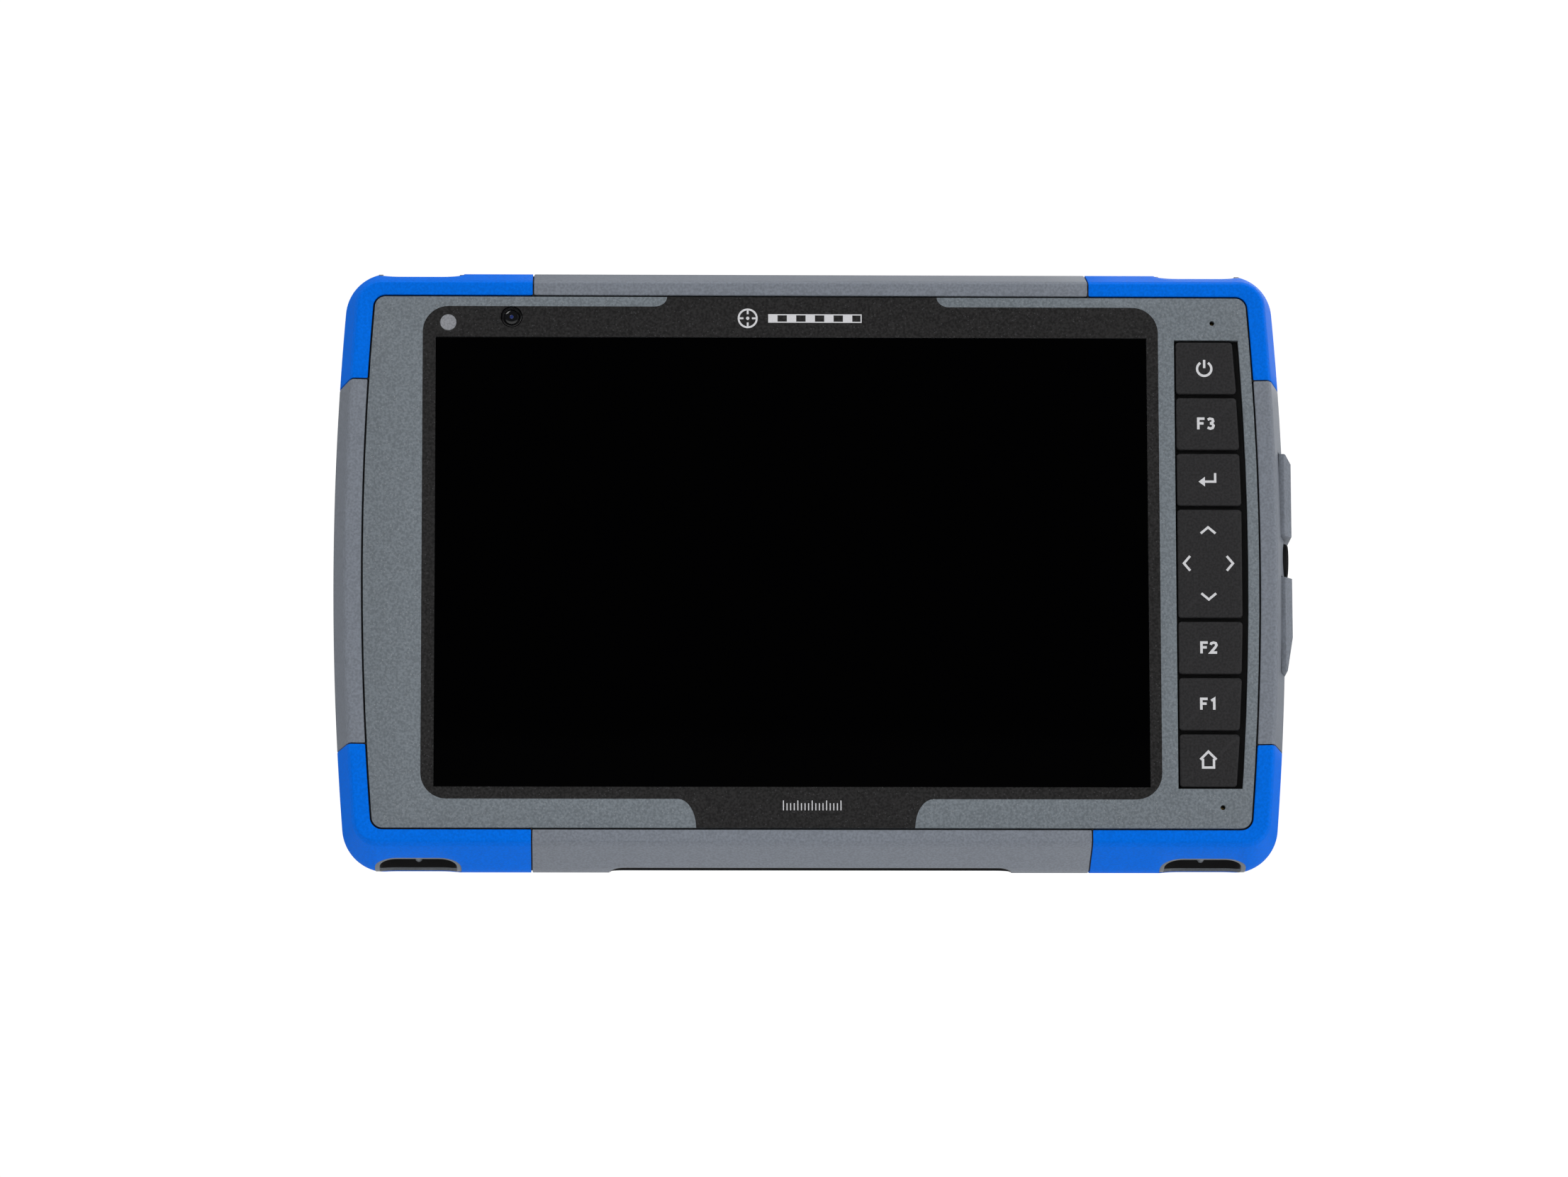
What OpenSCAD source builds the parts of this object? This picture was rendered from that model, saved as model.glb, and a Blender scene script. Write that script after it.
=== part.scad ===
// Rugged landscape field tablet for data collection in survey work.
// The screen faces -Y and +Z is up. The origin is the centre of the four bracket
// inserts, on the face of their boss on the back.

/* [Overall] */
// Width over the side rails at mid height
body_w = 214.4; // [208:0.2:235]
// Height over the top and bottom rails
body_h = 136.4; // [134.4:0.2:150]
// Depth from the front rim to the rear lips of the bumpers
body_d = 34.8; // [34:0.1:42]
// Radius that the sides bow on, at the bezel edge
side_r = 720; // [500:10:1200]
// Corner radius of the outer silhouette
outer_corner = 10; // [8:0.5:12]
// How far the front rim stands above the bezel
rim_rise = 0.5; // [0.3:0.1:1]
// How far the rear lips stand behind the bracket boss
rear_lip = 0.5; // [0.2:0.1:1.5]
// How far the bracket boss stands behind the rear face
boss_rise = 1; // [0.5:0.1:2]
// Depth from the bezel face to the middle of the widest band
wide_depth = 14.5; // [12:0.5:17]
// Width of the flat band at the widest place
wide_band = 3; // [1:0.5:6]

/* [Bezel] */
// From the bezel's edge out to the widest place, at the sides
ring_side = 7; // [6.6:0.1:9]
// From the bezel's edge out to the widest place, at the top and bottom
ring_top = 8; // [7:0.1:9]
// Corner radius of the bezel plate
bezel_corner = 2.4; // [1.5:0.1:5]
// Thickness of the bezel plate
bezel_t = 1.5; // [1.2:0.1:1.8]
// Gap between the bezel plate and the rim round it
bezel_gap = 0.4; // [0.2:0.05:0.8]
// Width of the display window
window_w = 159.4; // [155:0.2:162]
// Height of the display window
window_h = 101.8; // [98:0.2:104]
// Centre of the display window, left of the middle
window_x = -4.4; // [-6:0.1:-3]
// Margin of the black mask left of the window
mask_left = 3; // [2:0.1:4]
// Margin of the black mask right of the window
mask_right = 2.7; // [2:0.1:3.5]
// Margin of the black mask above the window
mask_top = 7.1; // [6:0.1:7.5]
// Margin of the black mask below the window
mask_bottom = 2.8; // [2:0.1:4]
// Corner radius of the black mask
mask_corner = 5.8; // [3:0.2:8]
// Thickness of the black mask
mask_t = 0.3; // [0.2:0.05:0.5]
// Left and right ends of the mask's top tab
top_tab = [-32.3, 28.3];
// Left and right ends of the mask's bottom tab
bottom_tab = [-25.8, 22.9];

/* [Rim and bumpers] */
// Width of the rim's front face at the top and bottom
rim_w = 2.7; // [2.2:0.1:3.2]
// Width of the rim's front face at the sides
rim_side_w = 3.2; // [2.4:0.1:3.6]
// Half length of the top and bottom rails
rail_half_x = 62.5; // [50:0.5:66]
// Half length of the side rails
rail_half_z = 41.5; // [32:0.5:44]
// Seam between a rail and a bumper
seam = 0.3; // [0.1:0.05:0.6]
// Slack between the ring and the housings inside it
ring_slack = 0.15; // [0.1:0.05:0.3]
// Distance of a strap pocket from the middle
strap_x = 87.7; // [84:0.1:89]
// Width of a strap pocket
strap_w = 19.3; // [18:0.1:20]
// Corner radius of a strap pocket, seen from its mouth
strap_round = 5; // [3:0.1:5.5]
// Depth of a strap pocket from the outer face
strap_deep = 9.6; // [9.4:0.1:10]
// Length of a strap pocket from front to back
strap_len = 13; // [11:0.5:13.5]
// Radius of the post across a strap pocket
strap_post_r = 0.8; // [0.6:0.1:1]
// Wall of the strap anchor
strap_wall = 1; // [0.8:0.1:1.2]

/* [Housings] */
// Wall of the housings
wall = 2.2; // [1.8:0.1:2.4]
// Thickness of the front housing's plate
plate_t = 2; // [1.6:0.1:2.4]
// Thickness of the rear housing's plate
rear_t = 2.2; // [1.8:0.1:2.4]
// Thickness of the main gasket
gasket_t = 0.8; // [0.6:0.1:1.2]
// Depth from the bezel face to the split between the housings
split_depth = 17.3; // [16.5:0.1:17.8]
// Radius of a case screw's shank
screw_r = 1.45; // [1.2:0.05:1.5]
// Radius of a case screw's head
screw_head_r = 2.7; // [2.4:0.1:3]

/* [Keypad] */
// Left edge of the keypad recess
pad_x = 81.6; // [81.2:0.1:83]
// Top of the keypad recess
pad_top = 50.6; // [48:0.2:52]
// Bottom of the keypad recess
pad_bottom = -51.3; // [-52:0.1:-51]
// Margin between the keypad recess and the bezel's bowed edge
pad_edge = 2.4; // [2:0.1:3]
// Margin above the first key and below the last one
key_margin = 0.45; // [0.3:0.05:0.8]
// Gap between two keys
key_gap = 0.87; // [0.6:0.01:1.2]
// Height of a key from back to front
key_tall = 2; // [1.6:0.1:2.1]
// How far the keys stand above the bezel
key_proud = 0.2; // [0:0.05:0.3]
// Travel of a key
key_travel = 0.6; // [0.3:0.05:0.6]
// Corner radius of a key
key_corner = 0.8; // [0.5:0.1:1.5]

/* [Front sensors] */
// Place of the front camera
camera_at = [-67.2, 55.6];
// Outer radius of the front camera's ring
camera_ring_r = 2.4; // [2:0.05:2.4]
// Radius of the front camera's lens
camera_lens_r = 1.7; // [1.2:0.05:1.8]
// Place of the light sensor
light_at = [-81.4, 54.3];
// Radius of the light sensor
light_r = 1.87; // [1.2:0.01:2]
// Radius of the microphone holes
mic_r = 0.55; // [0.4:0.05:0.7]

/* [Port doors] */
// Lower and upper end of the upper port door
upper_door = [7.1, 25.8];
// Lower and upper end of the lower port door
lower_door = [-23.7, -2.3];
// How far a closed door stands proud of the widest band
door_proud = 1.1; // [0.8:0.1:1.4]
// Thickness of a port door
door_t = 3; // [2.4:0.1:3.2]
// Width of a port door from front to back
door_w = 15; // [13:0.5:15.5]
// Gap round a port door
door_gap = 0.3; // [0.2:0.05:0.5]
// Extra room behind a door's knuckle, so that the door opens past a right angle
door_relief = 1.5; // [1.2:0.1:2.5]
// Radius of a door's hinge pin
pin_r = 0.7; // [0.6:0.05:0.8]
// Running clearance between a bore and its pin
pin_fit = 0.05; // [0.02:0.01:0.08]
// Wall of a hinge knuckle round its bore
knuckle_wall = 0.55; // [0.5:0.05:0.7]
// Height of the power inlet above the middle
inlet_z = 2.3; // [2:0.1:2.6]
// Radius of the opening in front of the power inlet
inlet_mouth = 4.1; // [3.6:0.1:4.2]
// Radius of the power inlet's socket
inlet_r = 2.8; // [2.6:0.05:3]

/* [Dock] */
// Width of the dock recess
dock_w = 90; // [84:0.5:92]
// Width of the dock recess from front to back
dock_y = 10.6; // [9.5:0.1:11.4]
// Depth of the dock recess
dock_deep = 2.5; // [2:0.1:2.8]
// Corner radius of the dock recess
dock_round = 3; // [1:0.1:4]
// Width of the contact island
dock_island = 28; // [24:0.5:32]
// Distance of an alignment hole from the middle
dock_hole_x = 20.5; // [19:0.1:24]
// Radius of an alignment hole
dock_hole_r = 1.6; // [1.2:0.05:2]
// Depth of an alignment hole
dock_hole_deep = 2.6; // [2:0.1:2.7]
// Number of dock contacts
dock_pins = 10; // [6:1:10]

/* [Back] */
// Spacing of the bracket inserts across
insert_x = 38.1; // [30:0.1:50]
// Spacing of the bracket inserts up and down
insert_z = 30.2; // [24:0.1:40]
// Radius of the threaded hole in an insert
insert_hole_r = 1.65; // [1.5:0.05:2.1]
// Length of a bracket insert
insert_len = 7; // [5:0.5:8]
// Width of the battery door
cover_w = 58; // [52:0.5:60]
// Height of the battery door
cover_h = 94; // [88:0.5:96]
// Distance of the battery door's middle left of the origin
cover_x = -59; // [-60:0.5:-58]
// Thickness of the battery door
cover_t = 2; // [1.6:0.1:2.2]
// Thickness of the battery pack
battery_t = 9.6; // [8:0.1:9.8]
// Clearance round the battery door
cover_gap = 0.35; // [0.3:0.05:0.5]
// Radius of a turn lock
lock_r = 5; // [4:0.1:5.5]
// Place of the rear camera
rear_camera_at = [72, 40];

/* [Hidden] */

// A cut runs this far past the face that it opens
past = 1;
// Steps round a corner and along half a side
corner_steps = 8;
side_steps = 5;

// Planes from front to back
y_crest = rear_lip - body_d;
y_face = y_crest + rim_rise;
y_plate = y_face + bezel_t;
y_inner = y_plate + plate_t;
y_touch = y_plate + 0.2;
y_lcd = y_touch + 3.6;
y_frame = y_lcd + 1;
y_split = y_face + split_depth;
y_rear_half = y_split + gasket_t;
y_rear = -boss_rise;
y_rear_in = y_rear - rear_t;
y_wide = y_face + wide_depth;
y_shoulder = y_rear - 1.8;

// Half sizes of the outlines
outer_w = body_w / 2;
outer_h = body_h / 2;
face_w = outer_w - ring_side;
face_h = outer_h - ring_top;
rim_in_w = face_w + bezel_gap;
rim_in_h = face_h + bezel_gap;
case_w = face_w + 2.4;
case_h = face_h + 2.4;
case_corner = 4.6;
lip_w = case_w - 2.4;
lip_h = case_h - 2.4;

// Keypad
key_top_y = y_face - key_proud;
key_back_y = key_top_y + key_tall;
mat_y = key_back_y + key_travel + 0.1;
board_y = y_inner;
key_left = pad_x + 0.35;
key_right_w = face_w - pad_edge - 1.3;
key_rows = 8;
key_pitch = (pad_top - pad_bottom - 2 * key_margin + key_gap) / key_rows;

// Port bay
port_y = y_wide - 1.6;
door_y = [y_wide - 8.5, y_wide - 8.5 + door_w];
door_out = outer_w + door_proud;
hinge_r = pin_r + pin_fit + knuckle_wall;
ear_len = 2.4;
pin_past = door_gap + ear_len - 0.2;
hinge_at = [outer_w - hinge_r - 0.8, door_y[1] + hinge_r + 0.1];

// Strap pockets
strap_y = y_wide - 1.3;
strap_low = outer_h - strap_deep;
post_z = outer_h - 2.8 - strap_post_r;

// Dock
dock_mid_y = y_wide + 2.3;
dock_face = -outer_h + dock_deep;
dock_tail_w = dock_island / 2 + 3;
dock_tail_y = [dock_mid_y - dock_y / 2 + 1, y_split - 0.8];

// Battery bay
bay_wall = 1.5;
bay_w = cover_w - 4;
bay_h = cover_h - 4;
battery_y = y_rear - cover_t - 0.35 - battery_t;
bay_floor = battery_y - 0.2;
rod_at = [cover_x - (cover_w - cover_t) / 2, y_rear - cover_t / 2];
rod_r = 0.6;
lock_z = cover_h / 2 - 9;
lock_x = cover_x + cover_w / 2 - 8;

// Case screws, in the corners and along the top and bottom
corner_screw_z = case_h - 12.6;
corner_screw_x = side_at([case_w, case_h, case_corner], corner_screw_z)[0] - 5.67;
corner_screw = [corner_screw_x, corner_screw_z];
edge_screw = [52, case_h - 6];
screw_places = [for (sx = [-1, 1]) for (sz = [-1, 1]) for (at = [corner_screw, edge_screw])
    [sx * at[0], sz * at[1]]];
boss_r = 3.4;

// ---- Outlines and shared shapes ------------------------------------------------

// A bowed outline is [half width, half height, corner radius]; its sides keep one centre.
function bow_r(o) = side_r + o[0] - face_w;
function bow_x(o) = o[0] - bow_r(o);
function side_end(o) = asin((o[1] - o[2]) / (bow_r(o) - o[2]));
function side_point(o, a) = [bow_x(o) + bow_r(o) * cos(a), bow_r(o) * sin(a)];
function side_at(o, z) = [bow_x(o) + sqrt(bow_r(o) * bow_r(o) - z * z), z];
function corner_point(o, a) = let(c = o[1] - o[2],
    x = bow_x(o) + sqrt(pow(bow_r(o) - o[2], 2) - c * c)) [x + o[2] * cos(a), c + o[2] * sin(a)];

// Corner of an outline, from the side's end up to the top
function corner_arc(o, n) = [for (i = [0 : n])
    corner_point(o, side_end(o) + (90 - side_end(o)) * i / n)];

// One quarter of an outline, from mid height up to the top
function quarter(o) = concat([for (i = [0 : side_steps - 1])
    side_point(o, side_end(o) * i / side_steps)], corner_arc(o, corner_steps));
function reversed(list) = [for (i = [len(list) - 1 : -1 : 0]) list[i]];
function half_outline(o) = concat(quarter(o), [for (p = reversed(quarter(o))) [-p[0], p[1]]]);
function outline(o) = let(h = half_outline(o))
    concat(h, [for (i = [len(h) - 2 : -1 : 1]) [h[i][0], -h[i][1]]]);

bezel_o = [face_w, face_h, bezel_corner];
case_o = [case_w, case_h, case_corner];
case_in_o = [case_w - wall, case_h - wall, case_corner - wall];
lip_o = [lip_w - 0.3, lip_h - 0.3, case_corner - 2.4];
pad_o = [face_w - pad_edge, face_h, bezel_corner];

// Extrudes an outline in X and Z from y0 back to y1
module slab(y0, y1) {
    translate([0, y1, 0]) rotate([90, 0, 0]) linear_extrude(y1 - y0) children();
}

// Rounded rectangle between two corners
module rounded(x0, x1, z0, z1, r) {
    translate([x0 + r, z0]) square([x1 - x0 - 2 * r, z1 - z0]);
    translate([x0, z0 + r]) square([x1 - x0, z1 - z0 - 2 * r]);
    for (x = [x0 + r, x1 - r]) for (z = [z0 + r, z1 - r]) translate([x, z]) circle(r, $fn = 32);
}

// Block between two corners
module block(low, high) {
    translate(low) cube(high - low);
}

// Round bar along Y at a place in X and Z
module bar_y(at, r, y0, y1, fn = 32) {
    translate([at[0], y1, at[1]]) rotate([90, 0, 0]) cylinder(r = r, h = y1 - y0, $fn = fn);
}

// Round bar along Z at a place in X and Y
module bar_z(at, r, z0, z1) {
    translate([at[0], at[1], z0]) cylinder(r = r, h = z1 - z0, $fn = 32);
}

// Closed skin through a row of rings that have the same number of points, with its end faces
// given as convex pieces of one ring
module loft(rings, ends) {
    n = len(rings[0]);
    m = len(rings);
    skin = [for (i = [0 : m - 2]) for (j = [0 : n - 1]) let(k = (j + 1) % n)
        each [[i * n + j, i * n + n + k, i * n + k], [i * n + j, i * n + n + j, i * n + n + k]]];
    polyhedron([for (ring = rings) each ring],
        concat(ends, skin, [for (e = ends) [for (j = reversed(e)) (m - 1) * n + j]]));
}

// ---- Protective ring -----------------------------------------------------------

// Section of the ring: [outline, y] from the rim's inner foot round to the housing wall
ring_in = [case_w + ring_slack, case_h + ring_slack, case_corner + ring_slack];
crest_w = rim_in_w + rim_side_w;
crest_h = rim_in_h + rim_w;
y_belt = [y_wide - wide_band / 2, y_wide + wide_band / 2];
ring_section = [
    [[rim_in_w, rim_in_h, bezel_corner + bezel_gap], y_plate],
    [[rim_in_w, rim_in_h, bezel_corner + bezel_gap], y_face + 0.05],
    [[rim_in_w + 0.5, rim_in_h + 0.5, bezel_corner + 1], y_face - 0.3],
    [[crest_w - 0.8, crest_h - 0.8, bezel_corner + 2.6], y_crest],
    [[crest_w + 0.2, crest_h + 0.2, bezel_corner + 3.4], y_crest + 0.15],
    [[crest_w + 0.8, crest_h + 0.9, bezel_corner + 4], y_crest + 1],
    [[outer_w, outer_h, outer_corner], y_belt[0]],
    [[outer_w, outer_h, outer_corner], y_belt[1]],
    [[outer_w - 3, outer_h - 3.6, outer_corner - 3], rear_lip - 2.2],
    [[outer_w - 4.4, outer_h - 5, outer_corner - 4], rear_lip - 0.3],
    [[outer_w - 5.2, outer_h - 5.8, outer_corner - 4.6], rear_lip],
    [[lip_w + 0.6, lip_h + 0.6, case_corner - 1.4], rear_lip],
    [[lip_w, lip_h, case_corner - 2], rear_lip - 0.6],
    [[lip_w, lip_h, case_corner - 2], y_shoulder],
    [ring_in, y_shoulder],
    [ring_in, y_plate]
];
// The section's face in three convex pieces: front lip, wall and rear lip
ring_face = [[15, 0, 1, 2, 3, 4, 5], [15, 5, 6, 7, 8, 14], [14, 8, 9, 10, 11, 12, 13]];

// One section of the ring, at a station that picks a point of each outline
function bumper_path(o) = concat(
    [for (i = [0 : 2]) side_at(o, rail_half_z + (bow_r(o) * sin(side_end(o)) - rail_half_z) * i / 3)],
    corner_arc(o, corner_steps), [[rail_half_x, o[1]]]);
function side_path(o) = [for (i = [-side_steps : side_steps])
    side_at(o, (rail_half_z - seam) * i / side_steps)];
bumper_rings = let(paths = [for (s = ring_section) bumper_path(s[0])])
    [for (i = [0 : len(paths[0]) - 1]) [for (j = [0 : len(paths) - 1])
        [paths[j][i][0], ring_section[j][1], paths[j][i][1]]]];
side_rings = let(paths = [for (s = ring_section) side_path(s[0])])
    [for (i = [0 : len(paths[0]) - 1]) [for (j = [0 : len(paths) - 1])
        [paths[j][i][0], ring_section[j][1], paths[j][i][1]]]];

// Top right bumper with its strap pocket
module bumper() {
    difference() {
        loft(bumper_rings, ring_face);
        strap_cut(0);
    }
}

// Space of a strap pocket, larger than the anchor's outside by a gap
module strap_cut(gap) {
    strap_shape(-gap, strap_low - gap, outer_h + past);
}

// Upright block with rounded corners, smaller than the pocket by an inset
module strap_shape(inset, z0, z1) {
    half = strap_w / 2 - inset;
    translate([0, 0, z0]) linear_extrude(z1 - z0)
        rounded(strap_x - half, strap_x + half, strap_y - strap_len / 2 + inset,
            strap_y + strap_len / 2 - inset, strap_round - inset);
}

module bumper_top_left() {
    color([0.01, 0.42, 0.85]) mirror([1, 0, 0]) bumper();
}
module bumper_top_right() {
    color([0.01, 0.42, 0.85]) bumper();
}
module bumper_bottom_left() {
    color([0.01, 0.42, 0.85]) mirror([1, 0, 0]) mirror([0, 0, 1]) bumper();
}
module bumper_bottom_right() {
    color([0.01, 0.42, 0.85]) mirror([0, 0, 1]) bumper();
}

// Straight rail along the top
module long_rail() {
    half = rail_half_x - seam;
    translate([-half, 0, 0]) rotate([90, 0, 90]) linear_extrude(2 * half)
        polygon([for (s = ring_section) [s[1], s[0][1]]]);
}

module rail_top() {
    color([0.45, 0.48, 0.52]) long_rail();
}

module rail_bottom() {
    color([0.45, 0.48, 0.52]) difference() {
        mirror([0, 0, 1]) long_rail();
        dock_shape(0, -outer_h - past, 0);
    }
}

// Upright block with the rounded plan of the dock recess, smaller by an inset
module dock_shape(inset, z0, z1) {
    translate([0, 0, z0]) linear_extrude(z1 - z0)
        rounded(-dock_w / 2 + inset, dock_w / 2 - inset, dock_mid_y - dock_y / 2 + inset,
            dock_mid_y + dock_y / 2 - inset, dock_round - inset);
}

module rail_left() {
    color([0.45, 0.48, 0.52]) mirror([1, 0, 0]) loft(side_rings, ring_face);
}

// Window of a port door, with room for its knuckle
module door_window(z) {
    block([case_w, door_y[0] - door_gap, z[0] - door_gap],
        [outer_w + past, door_y[1] + door_gap, z[1] + door_gap]);
    block([hinge_at[0] - hinge_r - door_gap, door_y[1], z[0] - door_gap],
        [outer_w + past, hinge_at[1] + hinge_r + door_gap + door_relief, z[1] + door_gap]);
}

module rail_right() {
    color([0.45, 0.48, 0.52]) difference() {
        union() {
            loft(side_rings, ring_face);
            for (z = [upper_door, lower_door]) hinge_ears(z);
        }
        for (z = [upper_door, lower_door]) {
            door_window(z);
            bar_z(hinge_at, pin_r, z[0] - pin_past, z[1] + pin_past);
        }
        translate([case_w, port_y, inlet_z]) rotate([0, 90, 0])
            cylinder(r = inlet_mouth, h = outer_w, $fn = 48);
    }
}

// Round ears in the rail that carry the ends of a door's pin
module hinge_ears(z) {
    for (low = [z[0] - door_gap - ear_len, z[1] + door_gap]) bar_z(hinge_at, hinge_r, low, low + ear_len);
}

// ---- Strap anchors -------------------------------------------------------------

// Space under the outer skin of the top rail, lowered by a gap
module under_skin(gap) {
    skin = [for (i = [5 : 8]) [ring_section[i][1], ring_section[i][0][1] - gap]];
    translate([-outer_w, 0, 0]) rotate([90, 0, 90]) linear_extrude(body_w)
        polygon(concat([[skin[0][0], 0]], skin, [[skin[3][0], 0]]));
}

// Liner of one pocket, whose end walls hold the post
module strap_anchor() {
    difference() {
        intersection() {
            strap_shape(0, strap_low, outer_h);
            under_skin(0.3);
        }
        strap_shape(strap_wall, strap_low + strap_wall, outer_h + past);
        bar_y([strap_x, post_z], strap_post_r, strap_y - strap_len, strap_y + strap_len);
    }
}

// Draws its children at all four corners
module at_corners() {
    for (sx = [0, 1]) for (sz = [0, 1]) mirror([sx, 0, 0]) mirror([0, 0, sz]) children();
}

module strap_anchors() {
    color([0.42, 0.44, 0.46]) at_corners() strap_anchor();
}

module strap_posts() {
    color([0.6, 0.6, 0.62]) at_corners()
        bar_y([strap_x, post_z], strap_post_r, strap_y - strap_len / 2, strap_y + strap_len / 2);
}

// ---- Front ---------------------------------------------------------------------

window_l = window_x - window_w / 2;
window_r = window_x + window_w / 2;

// Tab of the mask that runs out to the bezel's edge, with an elliptical fillet at each end
function tab(ends, from, to, flare) = concat(
    [for (i = [0 : 8]) [ends[0] - flare + flare * sin(90 * i / 8), to + (from - to) * cos(90 * i / 8)]],
    [for (i = [8 : -1 : 0]) [ends[1] + flare - flare * sin(90 * i / 8), to + (from - to) * cos(90 * i / 8)]]);

module mask_outline() {
    top = window_h / 2 + mask_top;
    bottom = -window_h / 2 - mask_bottom;
    rounded(window_l - mask_left, window_r + mask_right, bottom, top, mask_corner);
    polygon(tab(top_tab, top, face_h, 2.8));
    polygon(tab(bottom_tab, bottom, -face_h, 4.1));
}

module window_outline(gap) {
    translate([window_l - gap, -window_h / 2 - gap]) square([window_w + 2 * gap, window_h + 2 * gap]);
}

// Holes of the camera and the light sensor
module sensor_holes(gap) {
    translate(camera_at) circle(camera_ring_r + gap, $fn = 48);
    translate(light_at) circle(light_r + gap, $fn = 48);
}

// Opening of the keypad, bowed like the bezel on its right
module pad_outline(gap) {
    intersection() {
        translate([pad_x - gap, pad_bottom - gap])
            square([face_w, pad_top - pad_bottom + 2 * gap]);
        polygon(outline([pad_o[0] + gap, pad_o[1], pad_o[2]]));
    }
}

mic_places = [[90.2, 54.5], [91.5, -55.5]];

module mic_holes() {
    for (at = mic_places) translate(at) circle(mic_r, $fn = 24);
}

module bezel_overlay() {
    color([0.43, 0.46, 0.49]) difference() {
        slab(y_face, y_plate) difference() {
            polygon(outline(bezel_o));
            window_outline(0.1);
            sensor_holes(0.05);
            pad_outline(0);
            mic_holes();
        }
        slab(y_face - past, y_face + mask_t) mask_outline();
    }
}

module display_mask() {
    color([0.16, 0.16, 0.16]) slab(y_face, y_face + mask_t) difference() {
        intersection() {
            mask_outline();
            polygon(outline(bezel_o));
        }
        window_outline(0.1);
        sensor_holes(0.05);
    }
}

module cover_glass() {
    color([0.02, 0.02, 0.02]) slab(y_face + 0.02, y_plate) window_outline(0);
}

module touch_panel() {
    color([0.1, 0.1, 0.12]) slab(y_plate, y_touch) window_outline(-2.5);
}

module lcd_panel() {
    color([0.05, 0.05, 0.06]) slab(y_touch, y_lcd) window_outline(-2.5);
}

// Metal tray behind the panel, with tabs onto the front housing's plate
module display_frame() {
    color([0.65, 0.66, 0.68]) difference() {
        slab(y_inner, y_frame) window_outline(1.2);
        slab(y_inner - past, y_lcd) window_outline(-2.4);
        slab(y_lcd - past, y_frame + past)
            for (i = [-1 : 1]) translate([window_x + i * 50 - 15, -30]) square([30, 60]);
    }
}

module camera_ring() {
    color([0.2, 0.2, 0.21]) difference() {
        bar_y(camera_at, camera_ring_r, y_face - 0.05, y_plate, 48);
        bar_y(camera_at, camera_lens_r, y_face - past, y_plate + past, 48);
    }
}

module camera_lens() {
    color([0.05, 0.08, 0.2]) bar_y(camera_at, camera_lens_r, y_face + 0.25, y_plate, 48);
}

module front_camera() {
    color([0.12, 0.12, 0.13]) union() {
        bar_y(camera_at, 1.6, y_plate, y_inner);
        block([camera_at[0] - 3, y_inner, camera_at[1] - 2.6],
            [camera_at[0] + 3, y_inner + 3, camera_at[1] + 2.6]);
    }
}

module light_sensor() {
    color([0.57, 0.58, 0.59]) bar_y(light_at, light_r, y_face + 0.05, y_plate, 48);
}

module microphones() {
    color([0.75, 0.65, 0.3]) for (at = mic_places)
        block([at[0] - 1.5, y_inner, at[1] - 1], [at[0] + 1.5, y_inner + 1, at[1] + 1]);
}

// ---- Keypad --------------------------------------------------------------------

// A key from row a to row b, counted down from the top
function key_z(row) = pad_top - key_margin - key_pitch * row;
module key(a, b) {
    low = key_z(b) + key_gap;
    high = key_z(a);
    hull() {
        key_plate(low, high, 0, key_top_y + 0.5, key_back_y);
        key_plate(low, high, 0.45, key_top_y, key_back_y);
    }
}

// Rounded plate whose right edge follows the bezel's bow
module key_plate(low, high, inset, y0, y1) {
    r = key_corner;
    edge = [key_right_w, face_h, bezel_corner];
    for (z = [low + inset + r, high - inset - r]) {
        bar_y([key_left + inset + r, z], r, y0, y1, 24);
        bar_y([side_at(edge, z)[0] - inset - r, z], r, y0, y1, 24);
    }
}

module key_power() {
    color([0.23, 0.23, 0.24]) key(0, 1);
}
module key_f3() {
    color([0.23, 0.23, 0.24]) key(1, 2);
}
module key_enter() {
    color([0.23, 0.23, 0.24]) key(2, 3);
}
module key_dpad() {
    color([0.23, 0.23, 0.24]) key(3, 5);
}
module key_f2() {
    color([0.23, 0.23, 0.24]) key(5, 6);
}
module key_f1() {
    color([0.23, 0.23, 0.24]) key(6, 7);
}
module key_home() {
    color([0.23, 0.23, 0.24]) key(7, 8);
}

// Gimbal disc under the middle of the four-way pad
module dpad_pivot() {
    middle = [(key_left + key_right_w) / 2, (key_z(3) + key_z(5) + key_gap) / 2];
    color([0.7, 0.7, 0.7]) bar_y(middle, 2, key_back_y + 0.2, mat_y - 0.15);
}

module keypad_mat() {
    color([0.11, 0.11, 0.11]) slab(mat_y, board_y) pad_outline(-0.1);
}

module keypad_board() {
    color([0.1, 0.3, 0.15]) slab(board_y, board_y + 1) difference() {
        pad_outline(1.2);
        translate([0, case_h - 14.8]) square([face_w * 2, 30]);
        translate([0, -case_h - 15.2]) square([face_w * 2, 30]);
    }
}

// ---- Housings ------------------------------------------------------------------

module front_housing() {
    color([0.2, 0.21, 0.22]) difference() {
        union() {
            slab(y_plate, y_inner) polygon(outline(case_o));
            slab(y_inner, y_split) difference() {
                polygon(outline(case_o));
                polygon(outline(case_in_o));
            }
            slab(y_inner + 1, y_split) {
                strap_blocks(0);
                screw_webs();
            }
            for (at = screw_places) bar_y(at, boss_r, boss_front(at), y_split);
        }
        slab(y_plate - past, y_inner + past) {
            window_outline(-2.4);
            pad_outline(0);
            mic_holes();
            translate(camera_at) circle(1.65, $fn = 32);
        }
        for (at = screw_places) bar_y(at, screw_r + 0.05, y_inner + 2.5, y_split + past);
        at_corners() strap_cut(0.1);
        dock_passage();
        port_cuts();
        port_recess();
    }
}

// The corner bosses start behind the keypad board; the others stand on the plate
function boss_front(at) = abs(at[0]) > edge_screw[0] ? y_inner + 1.1 : y_inner;

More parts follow.
